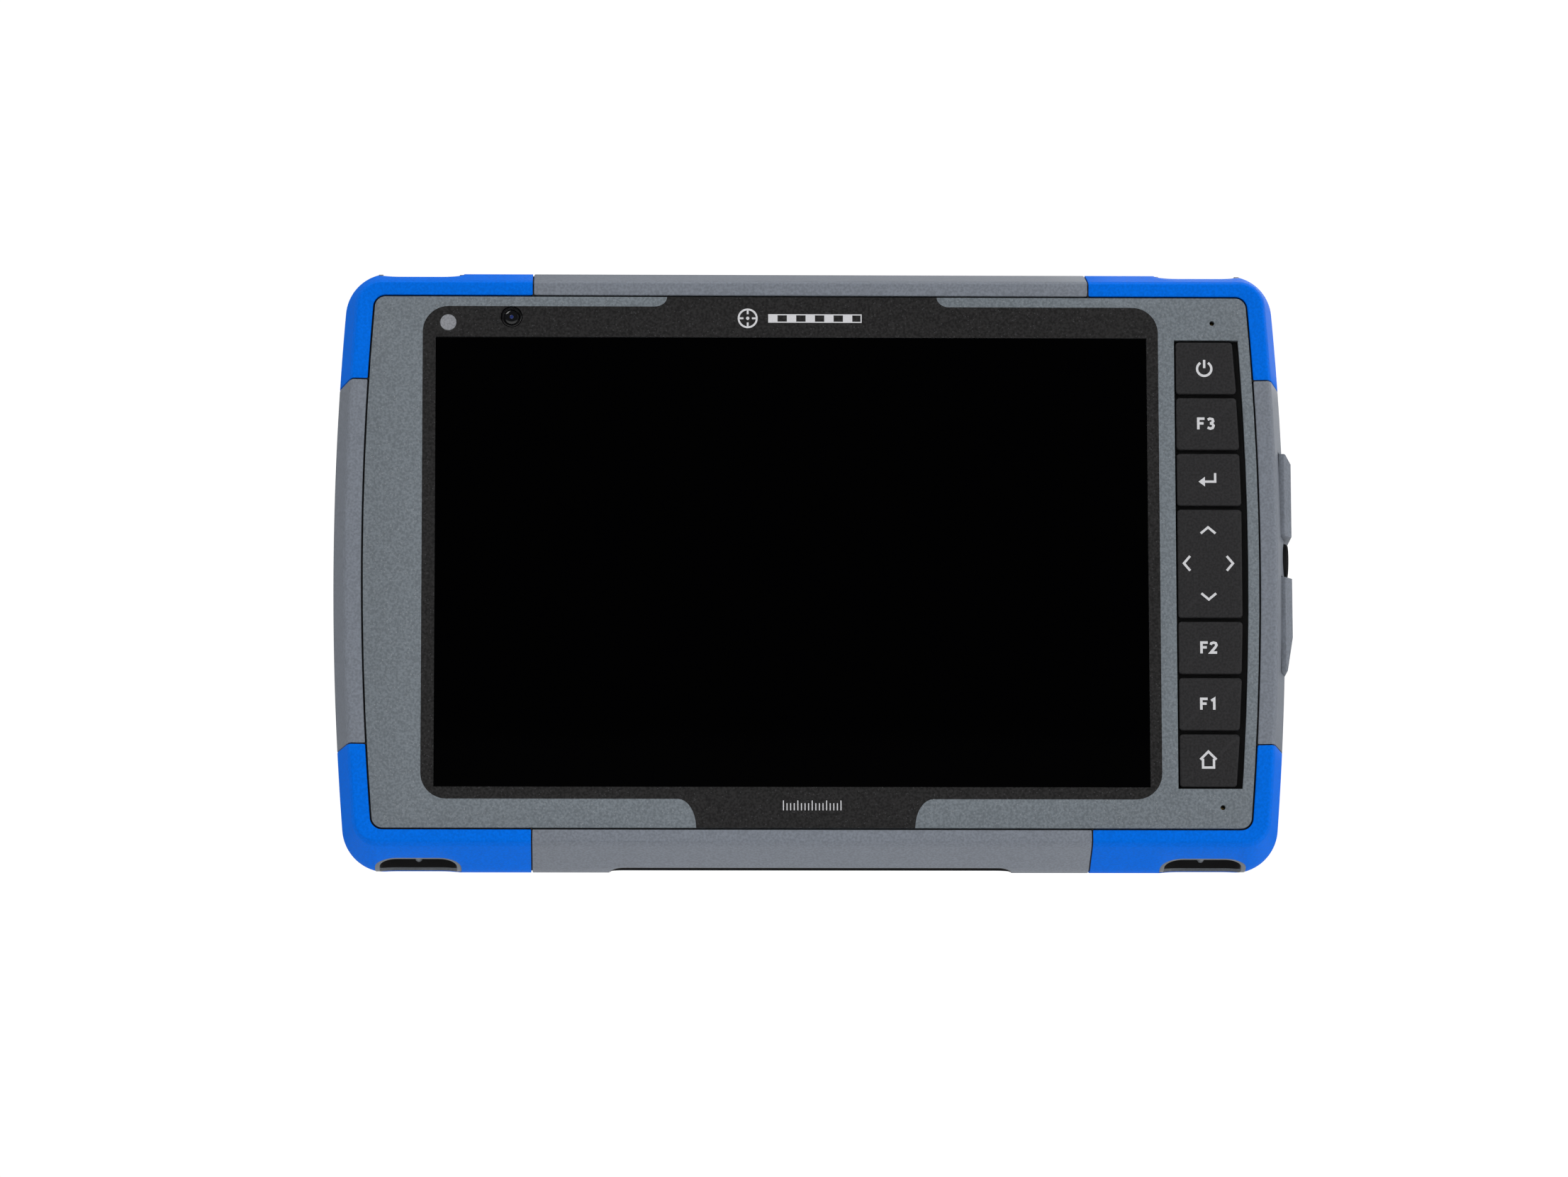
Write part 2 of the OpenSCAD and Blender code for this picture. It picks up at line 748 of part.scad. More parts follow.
// Walls that join the corner bosses to the sides
module screw_webs() {
    at_four(case_w - 6, corner_screw[1], 6, 4);
}

// Thick places inside the walls, round the strap pockets
module strap_blocks(gap) {
    low = strap_low - wall - 1;
    high = case_h - 0.5;
    intersection() {
        polygon(outline([case_w - gap, case_h - gap, case_corner - gap]));
        at_four(strap_x, (low + high) / 2, strap_w + 2 * wall - 2 * gap, high - low - 2 * gap);
    }
}

// Rectangles of one size at the four corners
module at_four(x, z, w, h) {
    for (sx = [-1, 1]) for (sz = [-1, 1]) translate([sx * x - w / 2, sz * z - h / 2]) square([w, h]);
}

// Way through the bottom wall for the dock block's tail
module dock_passage() {
    block([-dock_tail_w - 0.1, dock_tail_y[0] - 0.1, -case_h - past],
        [dock_tail_w + 0.1, dock_tail_y[1] + 0.1, -case_h + wall + past]);
}

// Sockets of the port bay: [height above the middle, size along Y, size along Z]
usb_a = [16.4, 6, 13.4];
usb_c = [-16.6, 3.4, 9.2];
audio_z = -6.8;
audio_r = 3;

// The sockets end flush with the housing's wall at the upper end of the bay
port_face = side_at(case_o, upper_door[1])[0];

// Openings of the sockets through the right wall
module port_cuts() {
    for (s = [usb_a, usb_c]) block([case_w - wall - 2, port_y - s[1] / 2 - 0.1, s[0] - s[2] / 2 - 0.1],
        [case_w + past, port_y + s[1] / 2 + 0.1, s[0] + s[2] / 2 + 0.1]);
    for (hole = [[audio_z, audio_r + 0.05], [inlet_z, inlet_mouth + 0.05]])
        translate([case_w - wall - 2, port_y, hole[0]]) rotate([0, 90, 0])
            cylinder(r = hole[1], h = wall + 4, $fn = 48);
}

// Clearance behind the wall so that nothing crowds the port board
module port_recess() {
    block([case_w - wall - 6, port_y - 7, -24], [case_w - wall - 0.3, y_split + past, 26]);
}

module rear_housing() {
    color([0.24, 0.25, 0.26]) difference() {
        union() {
            slab(y_rear_half, y_shoulder) difference() {
                polygon(outline(case_o));
                polygon(outline(case_in_o));
            }
            slab(y_rear_in, y_shoulder) polygon(outline(case_in_o));
            slab(y_shoulder - 0.01, y_rear) polygon(outline(lip_o));
            slab(y_rear - 0.01, 0) rounded(-27, 27, -23, 23, 4);
            slab(y_rear_half, y_rear_in) {
                strap_blocks(0);
                screw_webs();
            }
            for (at = screw_places) bar_y(at, boss_r, y_rear_half, y_rear_in);
            for (at = insert_places) bar_y(at, 4.4, -insert_len - 1.5, y_rear_in);
            slab(bay_floor - bay_wall, y_rear_in) square_at(cover_x, bay_w + 2 * bay_wall, bay_h + 2 * bay_wall);
        }
        slab(bay_floor, y_rear + past) square_at(cover_x, bay_w, bay_h);
        slab(y_rear - cover_t - 0.05, y_rear + past)
            square_at(cover_x, cover_w + 2 * cover_gap, cover_h + 2 * cover_gap);
        for (at = screw_places) {
            bar_y(at, screw_r + 0.05, y_rear_half - past, y_rear + past);
            bar_y(at, screw_head_r + 0.1, y_rear - 2, y_rear + past);
        }
        for (at = insert_places) bar_y(at, 3, -insert_len, past);
        at_corners() strap_cut(0.1);
        rod_holes();
        speaker_slots();
        rear_camera_cut();
        slab(y_rear - 0.4, y_rear + past) plate_outline(0.1);
    }
}

insert_places = [for (sx = [-0.5, 0.5]) for (sz = [-0.5, 0.5]) [sx * insert_x, sz * insert_z]];

module square_at(x, w, h) {
    translate([x - w / 2, -h / 2]) square([w, h]);
}

speaker_at = [70, -32];

module speaker_slots() {
    slab(y_rear_in - past, y_rear + past) for (i = [-3 : 3])
        translate([speaker_at[0] + i * 4 - 0.8, speaker_at[1] - 8]) square([1.6, 16]);
}

module rear_camera_cut() {
    slab(y_rear - 1, y_rear + past) window_pill(0.05);
    bar_y(rear_camera_at, 4.1, y_rear_in - past, y_rear + past);
}

// Long round-ended window over the camera and its lamp
module window_pill(gap) {
    r = 6 + gap;
    for (dz = [0, -14]) translate(rear_camera_at + [0, dz]) circle(r, $fn = 48);
    translate(rear_camera_at + [-r, -14]) square([2 * r, 14]);
}

module plate_outline(gap) {
    rounded(48 - gap, 92 + gap, -9 - gap, 11 + gap, 1.5);
}

// Seal between the housings, which passes inside the strap pockets
module main_gasket() {
    color([0.08, 0.08, 0.08]) difference() {
        slab(y_split, y_rear_half) {
            difference() {
                polygon(outline([case_w - 0.4, case_h - 0.4, case_corner - 0.4]));
                polygon(outline([case_w - wall + 0.3, case_h - wall + 0.3, case_corner - wall + 0.3]));
            }
            strap_blocks(0.3);
        }
        at_corners() strap_cut(0.3);
    }
}

// ---- Back ----------------------------------------------------------------------

// Holes that hold the ends of the battery door's rod
module rod_holes() {
    bar_z(rod_at, rod_r, -cover_h / 2 - 6, cover_h / 2 + 6);
}

// Door that swings outward about the rod in its rounded left edge
module battery_door() {
    color([0.24, 0.25, 0.26]) difference() {
        union() {
            block([rod_at[0], y_rear - cover_t, -cover_h / 2],
                [cover_x + cover_w / 2, y_rear, cover_h / 2]);
            bar_z(rod_at, cover_t / 2, -cover_h / 2, cover_h / 2);
            for (i = [0 : 8]) translate([cover_x - 18 + i * 4, 0, 0]) slab(y_rear - 0.1, y_rear + 0.7)
                square_at(0, 1.6, cover_h - 30);
        }
        bar_z(rod_at, rod_r + pin_fit, -cover_h, cover_h);
        for (s = [-1, 1]) bar_y([lock_x, s * lock_z], lock_r + pin_fit, y_rear - cover_t - past, past, 48);
    }
}

// Coin-slotted turn lock
module turn_lock(z) {
    at = [lock_x, z];
    color([0.15, 0.15, 0.16]) difference() {
        bar_y(at, lock_r, y_rear - cover_t, y_rear + 0.3, 48);
        block([at[0] - 0.8, y_rear - 0.9, at[1] - lock_r * 0.8],
            [at[0] + 0.8, y_rear + past, at[1] + lock_r * 0.8]);
    }
}

module door_lock_upper() {
    turn_lock(lock_z);
}

module door_lock_lower() {
    turn_lock(-lock_z);
}

module battery_door_rod() {
    color([0.7, 0.7, 0.72]) bar_z(rod_at, rod_r, -cover_h / 2 - 5, cover_h / 2 + 5);
}

module battery_pack() {
    color([0.12, 0.12, 0.13]) slab(battery_y, battery_y + battery_t)
        rounded(cover_x - bay_w / 2 + 0.6, cover_x + bay_w / 2 - 1.4, -bay_h / 2 + 0.6, bay_h / 2 - 0.6, 2);
}

module battery_contacts() {
    color([0.85, 0.7, 0.3]) for (i = [-2 : 2])
        block([cover_x + bay_w / 2 - 1.35, battery_y + 2, i * 4 - 0.8],
            [cover_x + bay_w / 2, battery_y + 7, i * 4 + 0.8]);
}

module bracket_inserts() {
    color([0.8, 0.68, 0.35]) for (at = insert_places) difference() {
        bar_y(at, 3, -insert_len, 0);
        bar_y(at, insert_hole_r, -insert_len - past, past);
    }
}

module rating_plate() {
    color([0.75, 0.76, 0.77]) slab(y_rear - 0.4, y_rear) plate_outline(0);
}

module rear_window() {
    color([0.05, 0.05, 0.06]) slab(y_rear - 1, y_rear) window_pill(0);
}

module rear_camera() {
    color([0.1, 0.1, 0.11]) union() {
        bar_y(rear_camera_at, 4, y_rear_in - 2, y_rear - 1);
        slab(y_rear_in - 6, y_rear_in - 2) square_at_point(rear_camera_at, 10, 10);
    }
}

module square_at_point(at, w, h) {
    translate([at[0] - w / 2, at[1] - h / 2]) square([w, h]);
}

module speaker() {
    color([0.1, 0.1, 0.1]) union() {
        slab(y_rear_in - 5, y_rear_in) square_at_point(speaker_at, 32, 22);
        slab(y_rear_in - 7, y_rear_in - 5) square_at_point(speaker_at, 18, 12);
    }
}

antenna_at = [38, 37];

module satellite_antenna() {
    color([0.85, 0.82, 0.72]) union() {
        slab(y_rear_in - 1.5, y_rear_in) square_at_point(antenna_at, 28, 28);
        slab(y_rear_in - 5.5, y_rear_in - 1.5) square_at_point(antenna_at, 25, 25);
    }
}

// Screws from the back into the front housing's bosses, with a hexagon socket
module case_screws() {
    color([0.25, 0.25, 0.26]) for (at = screw_places) difference() {
        union() {
            bar_y(at, screw_r, y_inner + 3, y_rear - 1.9);
            bar_y(at, screw_head_r, y_rear - 2, y_rear - 0.1);
        }
        bar_y(at, 1.3, y_rear - 1.4, y_rear + past, 6);
    }
}

// ---- Ports and dock ------------------------------------------------------------

// Rubber door whose rear end thins out into its knuckle
module port_door(z) {
    inner = door_out - door_t;
    color([0.45, 0.48, 0.52]) difference() {
        union() {
            translate([0, 0, z[0]]) linear_extrude(z[1] - z[0])
                polygon([[inner, door_y[0]], [outer_w - 0.6, door_y[0]], [door_out, door_y[0] + 2.4],
                    [door_out, door_y[1] - 2], [hinge_at[0] + hinge_r, hinge_at[1]],
                    hinge_at, [inner, hinge_at[1] - 0.6]]);
            bar_z(hinge_at, hinge_r, z[0], z[1]);
        }
        bar_z(hinge_at, pin_r + pin_fit, z[0] - past, z[1] + past);
    }
}

module port_door_upper() {
    port_door(upper_door);
}

module port_door_lower() {
    port_door(lower_door);
}

module door_pins() {
    color([0.7, 0.7, 0.72]) for (z = [upper_door, lower_door])
        bar_z(hinge_at, pin_r, z[0] - pin_past, z[1] + pin_past);
}

// Open box of a socket that faces +X
module socket_shell(s, deep) {
    difference() {
        block([port_face - deep, port_y - s[1] / 2, s[0] - s[2] / 2],
            [port_face, port_y + s[1] / 2, s[0] + s[2] / 2]);
        block([port_face - deep + 1, port_y - s[1] / 2 + 0.4, s[0] - s[2] / 2 + 0.4],
            [case_w + past, port_y + s[1] / 2 - 0.4, s[0] + s[2] / 2 - 0.4]);
    }
}

module usb_a_socket() {
    color([0.7, 0.7, 0.72]) union() {
        socket_shell(usb_a, 14);
        block([port_face - 13.5, port_y + 0.4, usb_a[0] - 5.6], [port_face - 1.5, port_y + 2.1, usb_a[0] + 5.6]);
    }
}

module usb_c_socket() {
    color([0.7, 0.7, 0.72]) union() {
        socket_shell(usb_c, 8);
        block([port_face - 7.5, port_y - 0.35, usb_c[0] - 3.3], [port_face - 1, port_y + 0.35, usb_c[0] + 3.3]);
    }
}

module audio_socket() {
    color([0.1, 0.1, 0.11]) translate([port_face - 13, port_y, audio_z]) rotate([0, 90, 0]) difference() {
        cylinder(r = audio_r, h = 13, $fn = 48);
        translate([0, 0, 1]) cylinder(r = 1.8, h = 13, $fn = 32);
    }
}

module dc_jack() {
    color([0.08, 0.08, 0.08]) translate([port_face - 13, port_y, inlet_z]) rotate([0, 90, 0]) {
        difference() {
            cylinder(r = inlet_mouth, h = 13, $fn = 48);
            translate([0, 0, 2]) cylinder(r = inlet_r, h = 13, $fn = 48);
        }
        cylinder(r = 1, h = 11, $fn = 32);
    }
}

module port_board() {
    color([0.1, 0.3, 0.15]) block([case_w - 25, port_y + 4.2, -26], [case_w - wall - 1, port_y + 5.4, 27]);
}

// Dock block with its contact island, two alignment holes and two slots
module dock_block() {
    color([0.09, 0.09, 0.1]) difference() {
        union() {
            dock_shape(0.1, dock_face, -case_h);
            block([-dock_tail_w, dock_tail_y[0], -case_h - 0.01],
                [dock_tail_w, dock_tail_y[1], -case_h + wall + 2]);
            block([-dock_island / 2, dock_mid_y - 3.4, dock_face - 0.6],
                [dock_island / 2, dock_mid_y + 3.4, dock_face + 0.01]);
        }
        for (s = [-1, 1]) {
            translate([s * dock_hole_x, dock_mid_y, dock_face - past])
                cylinder(r = dock_hole_r, h = dock_hole_deep + past, $fn = 32);
            block([s * 32 - 4, dock_mid_y - 1.2, dock_face - past],
                [s * 32 + 4, dock_mid_y + 1.2, dock_face + 2.5]);
        }
        for (i = [0 : dock_pins - 1]) bar_z([dock_pin_x(i), dock_mid_y], 0.8, dock_face - past, dock_face + 3);
    }
}

function dock_pin_x(i) = (i - (dock_pins - 1) / 2) * 2.54;

module dock_contacts() {
    color([0.85, 0.7, 0.3]) for (i = [0 : dock_pins - 1])
        bar_z([dock_pin_x(i), dock_mid_y], 0.8, dock_face - 0.9, dock_face + 3);
}

// ---- Electronics ---------------------------------------------------------------

board_front = y_frame + 3;

module main_board() {
    color([0.08, 0.3, 0.16]) union() {
        slab(board_front, board_front + 1.6) difference() {
            rounded(-78, 72, -50, 50, 2);
            square_at_point([60, -30], 8, 8);
        }
        for (x = [-70, 64]) for (z = [-44, 44]) bar_y([x, z], 2.5, y_frame, board_front);
    }
}

module shield_cans() {
    color([0.75, 0.76, 0.77]) for (s = [[-20, 22, 34, 30], [20, 24, 26, 34], [44, -20, 20, 26]])
        slab(board_front + 1.6, board_front + 3.6) square_at_point([s[0], s[1]], s[2], s[3]);
}

module heat_spreader() {
    color([0.7, 0.5, 0.35]) slab(board_front + 3.6, board_front + 4.1) square_at_point([0, 22], 90, 36);
}

bezel_overlay();
display_mask();
cover_glass();
touch_panel();
lcd_panel();
display_frame();
front_housing();
rear_housing();
main_gasket();
bumper_top_left();
bumper_top_right();
bumper_bottom_left();
bumper_bottom_right();
rail_top();
rail_bottom();
rail_left();
rail_right();
strap_anchors();
strap_posts();
key_power();
key_f3();
key_enter();
key_dpad();
dpad_pivot();
key_f2();
key_f1();
key_home();
keypad_mat();
keypad_board();
camera_ring();
camera_lens();
front_camera();
light_sensor();
microphones();
port_door_upper();
port_door_lower();
door_pins();
dc_jack();
usb_a_socket();
usb_c_socket();
audio_socket();
port_board();
dock_block();
dock_contacts();
main_board();
shield_cans();
heat_spreader();
battery_pack();
battery_contacts();
battery_door();
door_lock_upper();
door_lock_lower();
battery_door_rod();
speaker();
rear_camera();
rear_window();
satellite_antenna();
rating_plate();
case_screws();
bracket_inserts();
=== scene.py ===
"""Rugged landscape field tablet for data collection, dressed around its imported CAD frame."""

import math

import bmesh
import bpy
import numpy as np
from bpy.props import FloatProperty, FloatVectorProperty, IntProperty, PointerProperty
from mathutils import Matrix, Vector


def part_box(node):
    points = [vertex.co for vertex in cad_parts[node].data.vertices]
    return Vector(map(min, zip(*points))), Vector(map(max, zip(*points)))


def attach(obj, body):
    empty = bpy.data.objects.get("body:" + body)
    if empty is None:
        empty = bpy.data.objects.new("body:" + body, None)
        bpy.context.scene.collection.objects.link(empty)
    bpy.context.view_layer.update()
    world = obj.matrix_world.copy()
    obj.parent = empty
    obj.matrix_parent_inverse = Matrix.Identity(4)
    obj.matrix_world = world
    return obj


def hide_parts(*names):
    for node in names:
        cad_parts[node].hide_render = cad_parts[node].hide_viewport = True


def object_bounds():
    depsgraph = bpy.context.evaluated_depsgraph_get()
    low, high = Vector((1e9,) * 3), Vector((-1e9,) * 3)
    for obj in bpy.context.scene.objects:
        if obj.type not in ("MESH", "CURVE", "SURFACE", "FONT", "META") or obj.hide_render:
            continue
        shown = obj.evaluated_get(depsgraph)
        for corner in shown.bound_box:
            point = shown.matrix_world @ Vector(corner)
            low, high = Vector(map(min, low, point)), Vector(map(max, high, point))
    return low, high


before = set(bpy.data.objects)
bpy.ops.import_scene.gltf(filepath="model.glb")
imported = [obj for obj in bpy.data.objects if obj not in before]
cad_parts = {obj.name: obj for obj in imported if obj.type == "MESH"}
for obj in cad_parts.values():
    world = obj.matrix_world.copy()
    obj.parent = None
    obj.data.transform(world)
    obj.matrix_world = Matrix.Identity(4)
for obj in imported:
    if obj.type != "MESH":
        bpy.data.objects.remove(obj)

CAD_LOW, CAD_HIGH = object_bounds()

bl_info = {
    "name": "Field data collector",
    "version": (1, 0, 0),
    "blender": (4, 5, 0),
    "location": "3D View > Sidebar > Collector",
    "description": "Builds a rugged field tablet with its bumpers, keys, doors and stage",
    "category": "Add Mesh",
}

MM = 0.001

# Faces of the CAD frame that the pieces are placed from
BEZEL_LOW, BEZEL_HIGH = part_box("bezel_overlay")
MASK_LOW, MASK_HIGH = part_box("display_mask")
GLASS_LOW, GLASS_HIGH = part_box("cover_glass")
CASE_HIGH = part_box("front_housing")[1]
RAIL_LOW, RAIL_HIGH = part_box("rail_top")
POST_LOW, POST_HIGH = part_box("strap_posts")
JACK_LOW, JACK_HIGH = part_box("dc_jack")
PIN_LOW, PIN_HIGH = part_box("dock_contacts")
REAR_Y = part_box("rear_window")[1].y
FACE_Y = BEZEL_LOW.y
PLATE_Y = BEZEL_HIGH.y
OUTER_W = -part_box("rail_left")[0].x
OUTER_H = RAIL_HIGH.z
FACE_W = BEZEL_HIGH.x
FACE_H = BEZEL_HIGH.z
INLET = (JACK_LOW + JACK_HIGH) / 2
INLET_R = (JACK_HIGH.z - JACK_LOW.z) / 2
KEYS = ("key_power", "key_f3", "key_enter", "key_dpad", "key_f2", "key_f1", "key_home")
PORT_DOORS = ("port_door_upper", "port_door_lower")

# Sizes of small CAD solids that the pieces repeat
POST_R = 0.8 * MM
KNUCKLE_R = 1.3 * MM
SCREW_HEAD_R = 2.7 * MM
INSERT_R = 3 * MM
INSERT_HOLE_R = 1.65 * MM
DOCK_PINS = 10


# ---- Sizes and colours that a user would change ----------------------------------


def length(name, description, default):
    """A length property, in metres."""
    return FloatProperty(name=name, description=description, default=default, min=0, unit="LENGTH")


def colour(name, description, default):
    """A linear colour property."""
    return FloatVectorProperty(name=name, description=description, default=default,
                               size=3, min=0, max=1, subtype="COLOR")


class COLLECTOR_PG_ring(bpy.types.PropertyGroup):
    """Sizes and colours of the bumpers and rails round the instrument"""
    bow: length("Side bow", "Radius that the sides bow on", 720 * MM)
    face_corner: length("Bezel corner", "Corner radius of the bezel", 2.4 * MM)
    outer_corner: length("Outer corner", "Corner radius of the silhouette", 10 * MM)
    case_corner: length("Case corner", "Corner radius of the housings", 4.6 * MM)
    gap: length("Bezel gap", "Gap between the bezel and the rim", 0.4 * MM)
    rim_top: length("Rim width, top", "Width of the rim's face along the top and bottom", 2.75 * MM)
    rim_side: length("Rim width, side", "Width of the rim's face along the sides", 3.3 * MM)
    crest_fillet: length("Crest fillet", "Rounding of the rim's crest", 0.4 * MM)
    belt_fillet: length("Belt fillet", "Rounding of the widest band", 2.2 * MM)
    belt_w: length("Belt width", "Width of the flat band at the widest place", 3 * MM)
    belt_depth: length("Belt depth", "Depth of the band behind the bezel's face", 14.5 * MM)
    split_x: length("Rail length", "Half length of the top and bottom rails", 62.5 * MM)
    split_z: length("Rail height", "Half length of the side rails", 41.5 * MM)
    seam: length("Seam", "Gap between a rail and a bumper", 0.3 * MM)
    blue: colour("Bumper blue", "Colour of the corner bumpers", (0.0006, 0.136, 0.70))
    grey: colour("Rail grey", "Colour of the rails and doors", (0.172, 0.190, 0.222))


class COLLECTOR_PG_front(bpy.types.PropertyGroup):
    """Sizes and colours of the bezel, display and keys"""
    overlay: colour("Overlay grey", "Colour of the bezel plate", (0.150, 0.172, 0.192))
    mask: colour("Mask black", "Colour of the printed mask", (0.0175, 0.0170, 0.0172))
    key: colour("Key black", "Colour of the keys", (0.0215, 0.0210, 0.0222))
    mark: colour("Legend white", "Colour of the printed legends", (0.60, 0.60, 0.62))
    key_fillet: length("Key edge", "Rounding of a key's top edge", 0.5 * MM)
    key_corner: length("Key corner", "Corner radius of a key", 0.8 * MM)
    ink: length("Ink", "Thickness of a printed legend", 0.02 * MM)
    stroke: length("Stroke", "Width of a legend's strokes", 0.53 * MM)


class COLLECTOR_PG_back(bpy.types.PropertyGroup):
    """Sizes and colours of the back, the ports and the dock"""
    housing: colour("Housing", "Colour of the housings and the battery door", (0.030, 0.032, 0.035))
    edge: length("Housing edge", "Rounding of the housing's edges", 0.3 * MM)
    mesh_wire: length("Speaker wire", "Thickness of a wire of the speaker mesh", 0.16 * MM)
    knurls: IntProperty(name="Knurls", description="Teeth round a bracket insert", default=24, min=8)


class COLLECTOR_PG_stage(bpy.types.PropertyGroup):
    """Camera, floor and lights"""
    distance: length("Distance", "From the camera to the point it looks at", 1.8)
    lens: FloatProperty(name="Lens", description="Focal length, in millimetres", default=183.6, min=20)
    below: FloatProperty(name="Pitch", description="Angle of the camera below the horizontal",
                         default=math.radians(9.71), subtype="ANGLE")
    aside: FloatProperty(name="Yaw", description="Angle of the camera to the right",
                         default=math.radians(-1.38), subtype="ANGLE")
    roll: FloatProperty(name="Roll", description="Tilt of the camera about its own axis",
                        default=math.radians(-0.122), subtype="ANGLE")
    aim: FloatVectorProperty(name="Aim", description="Point that the camera looks at", size=3,
                             default=(-5.84 * MM, -20 * MM, -3.85 * MM), subtype="TRANSLATION",
                             unit="LENGTH")
    floor_drop: length("Floor drop", "From the lowest edge down to the floor", 300 * MM)


def sizes(group):
    """A property group's values, by its short name."""
    return getattr(bpy.context.scene, "collector_" + group)


# ---- Outlines ----------------------------------------------------------------------


class Outline:
    """Rounded rectangle whose top and bottom are straight and whose sides bow outward."""

    def __init__(self, half_w, half_h, corner):
        self.half_h = half_h
        self.corner = corner
        self.bow = sizes("ring").bow + half_w - FACE_W
        self.centre = half_w - self.bow
        self.drop = half_h - corner
        self.turn = math.asin(self.drop / (self.bow - corner))
        self.corner_x = self.centre + math.sqrt((self.bow - corner) ** 2 - self.drop ** 2)

    def side(self, z):
        return self.centre + math.sqrt(self.bow ** 2 - z * z), z

    def arc(self, share):
        """A point of the corner, from the side's end (0) to the top (1)."""
        angle = self.turn + (math.pi / 2 - self.turn) * share
        return self.corner_x + self.corner * math.cos(angle), self.drop + self.corner * math.sin(angle)

    def side_top(self):
        return self.bow * math.sin(self.turn)


def blends(start, end, count):
    """Evenly spaced numbers from start to end, both included."""
    return [start + (end - start) * i / count for i in range(count + 1)]


def ring_section():
    """Section of the ring: (half width, half height, corner radius, y) round a closed loop."""
    ring = sizes("ring")
    corner = ring.face_corner + ring.gap
    inner_w, inner_h = FACE_W + ring.gap, FACE_H + ring.gap
    crest_w, crest_h = inner_w + ring.rim_side, inner_h + ring.rim_top
    case_w, case_h = CASE_HIGH.x + 0.15 * MM, CASE_HIGH.z + 0.15 * MM
    belt_front = FACE_Y + ring.belt_depth - ring.belt_w / 2
    belt_back = belt_front + ring.belt_w
    lip_w, lip_h = CASE_HIGH.x - 2.4 * MM, CASE_HIGH.z - 2.4 * MM
    shoulder = REAR_Y - 1.8 * MM
    front, back = RAIL_LOW.y, RAIL_HIGH.y
    knots = [
        (inner_w, inner_h, corner, PLATE_Y, 0),
        (inner_w, inner_h, corner, FACE_Y - 0.05 * MM, 0.3 * MM),
        (crest_w, crest_h, corner + 2.4 * MM, front - 0.055 * MM, ring.crest_fillet),
        (crest_w + 0.75 * MM, crest_h + 0.85 * MM, corner + 3 * MM, front + 1.5 * MM, 0.45 * MM),
        (OUTER_W, OUTER_H, ring.outer_corner, belt_front, ring.belt_fillet),
        (OUTER_W, OUTER_H, ring.outer_corner, belt_back, ring.belt_fillet),
        (OUTER_W - 3.2 * MM, OUTER_H - 3.9 * MM, ring.outer_corner - 3.2 * MM, back - 1.2 * MM, 1.6 * MM),
        (OUTER_W - 4.6 * MM, OUTER_H - 5.3 * MM, ring.outer_corner - 4.2 * MM, back, 0.8 * MM),
        (lip_w + 0.3 * MM, lip_h + 0.3 * MM, ring.case_corner - 1.8 * MM, back, 0.4 * MM),
        (lip_w + 0.1 * MM, lip_h + 0.1 * MM, ring.case_corner - 2 * MM, shoulder, 0),
        (case_w, case_h, ring.case_corner + 0.15 * MM, shoulder, 0),
        (case_w, case_h, ring.case_corner + 0.15 * MM, PLATE_Y, 0),
    ]
    return rounded_loop(knots, 6)


def rounded_loop(knots, steps):
    """The loop through the knots, with each one rounded by its fillet, its last number."""
    loop = []
    for i, knot in enumerate(knots):
        here, fillet = np.array(knot[:-1]), knot[-1]
        if not fillet:
            loop.append(here)
            continue
        ends = []
        for other in (knots[i - 1], knots[(i + 1) % len(knots)]):
            away = np.array(other[:-1]) - here
            ends.append(here + away * min(fillet / np.linalg.norm(away[[1, 3]]), 0.48))
        for t in blends(0, 1, steps):
            loop.append((1 - t) ** 2 * ends[0] + 2 * t * (1 - t) * here + t * t * ends[1])
    return loop


# ---- Mesh making -------------------------------------------------------------------


def finish_mesh(mesh, crease=32):
    """Smooth faces, with sharp edges where they turn by more than crease degrees."""
    work = bmesh.new()
    work.from_mesh(mesh)
    bmesh.ops.recalc_face_normals(work, faces=work.faces)
    limit = math.radians(crease)
    for edge in work.edges:
        edge.smooth = len(edge.link_faces) == 2 and edge.calc_face_angle(0) < limit
    for face in work.faces:
        face.smooth = True
    work.to_mesh(mesh)
    work.free()


def add_object(name, mesh):
    """Links a mesh as an object at the origin."""
    piece = bpy.data.objects.new(name, mesh)
    bpy.context.scene.collection.objects.link(piece)
    return piece


def build(name, work):
    """An object from a bmesh, which is freed."""
    mesh = bpy.data.meshes.new(name)
    work.to_mesh(mesh)
    work.free()
    return add_object(name, mesh)


def baked(piece):
    """Applies every modifier of a piece to its mesh."""
    graph = bpy.context.evaluated_depsgraph_get()
    mesh = bpy.data.meshes.new_from_object(piece.evaluated_get(graph))
    piece.modifiers.clear()
    old, piece.data = piece.data, mesh
    bpy.data.meshes.remove(old)
    mesh.name = piece.name
    return piece


def carve(piece, cutters):
    """Cuts the cutters out of a piece and removes them."""
    for i, cutter in enumerate(cutters):
        cut = piece.modifiers.new(f"cut_{i}", "BOOLEAN")
        cut.operation, cut.solver, cut.object = "DIFFERENCE", "EXACT", cutter
    baked(piece)
    for cutter in cutters:
        bpy.data.objects.remove(cutter)
    return piece


def soften(piece, width, angle=35, segments=2):
    """Rounds the edges of a piece that turn by more than angle degrees."""
    bevel = piece.modifiers.new("soften", "BEVEL")
    bevel.width, bevel.segments, bevel.limit_method = width, segments, "ANGLE"
    bevel.angle_limit = math.radians(angle)
    bevel.use_clamp_overlap = True
    return baked(piece)


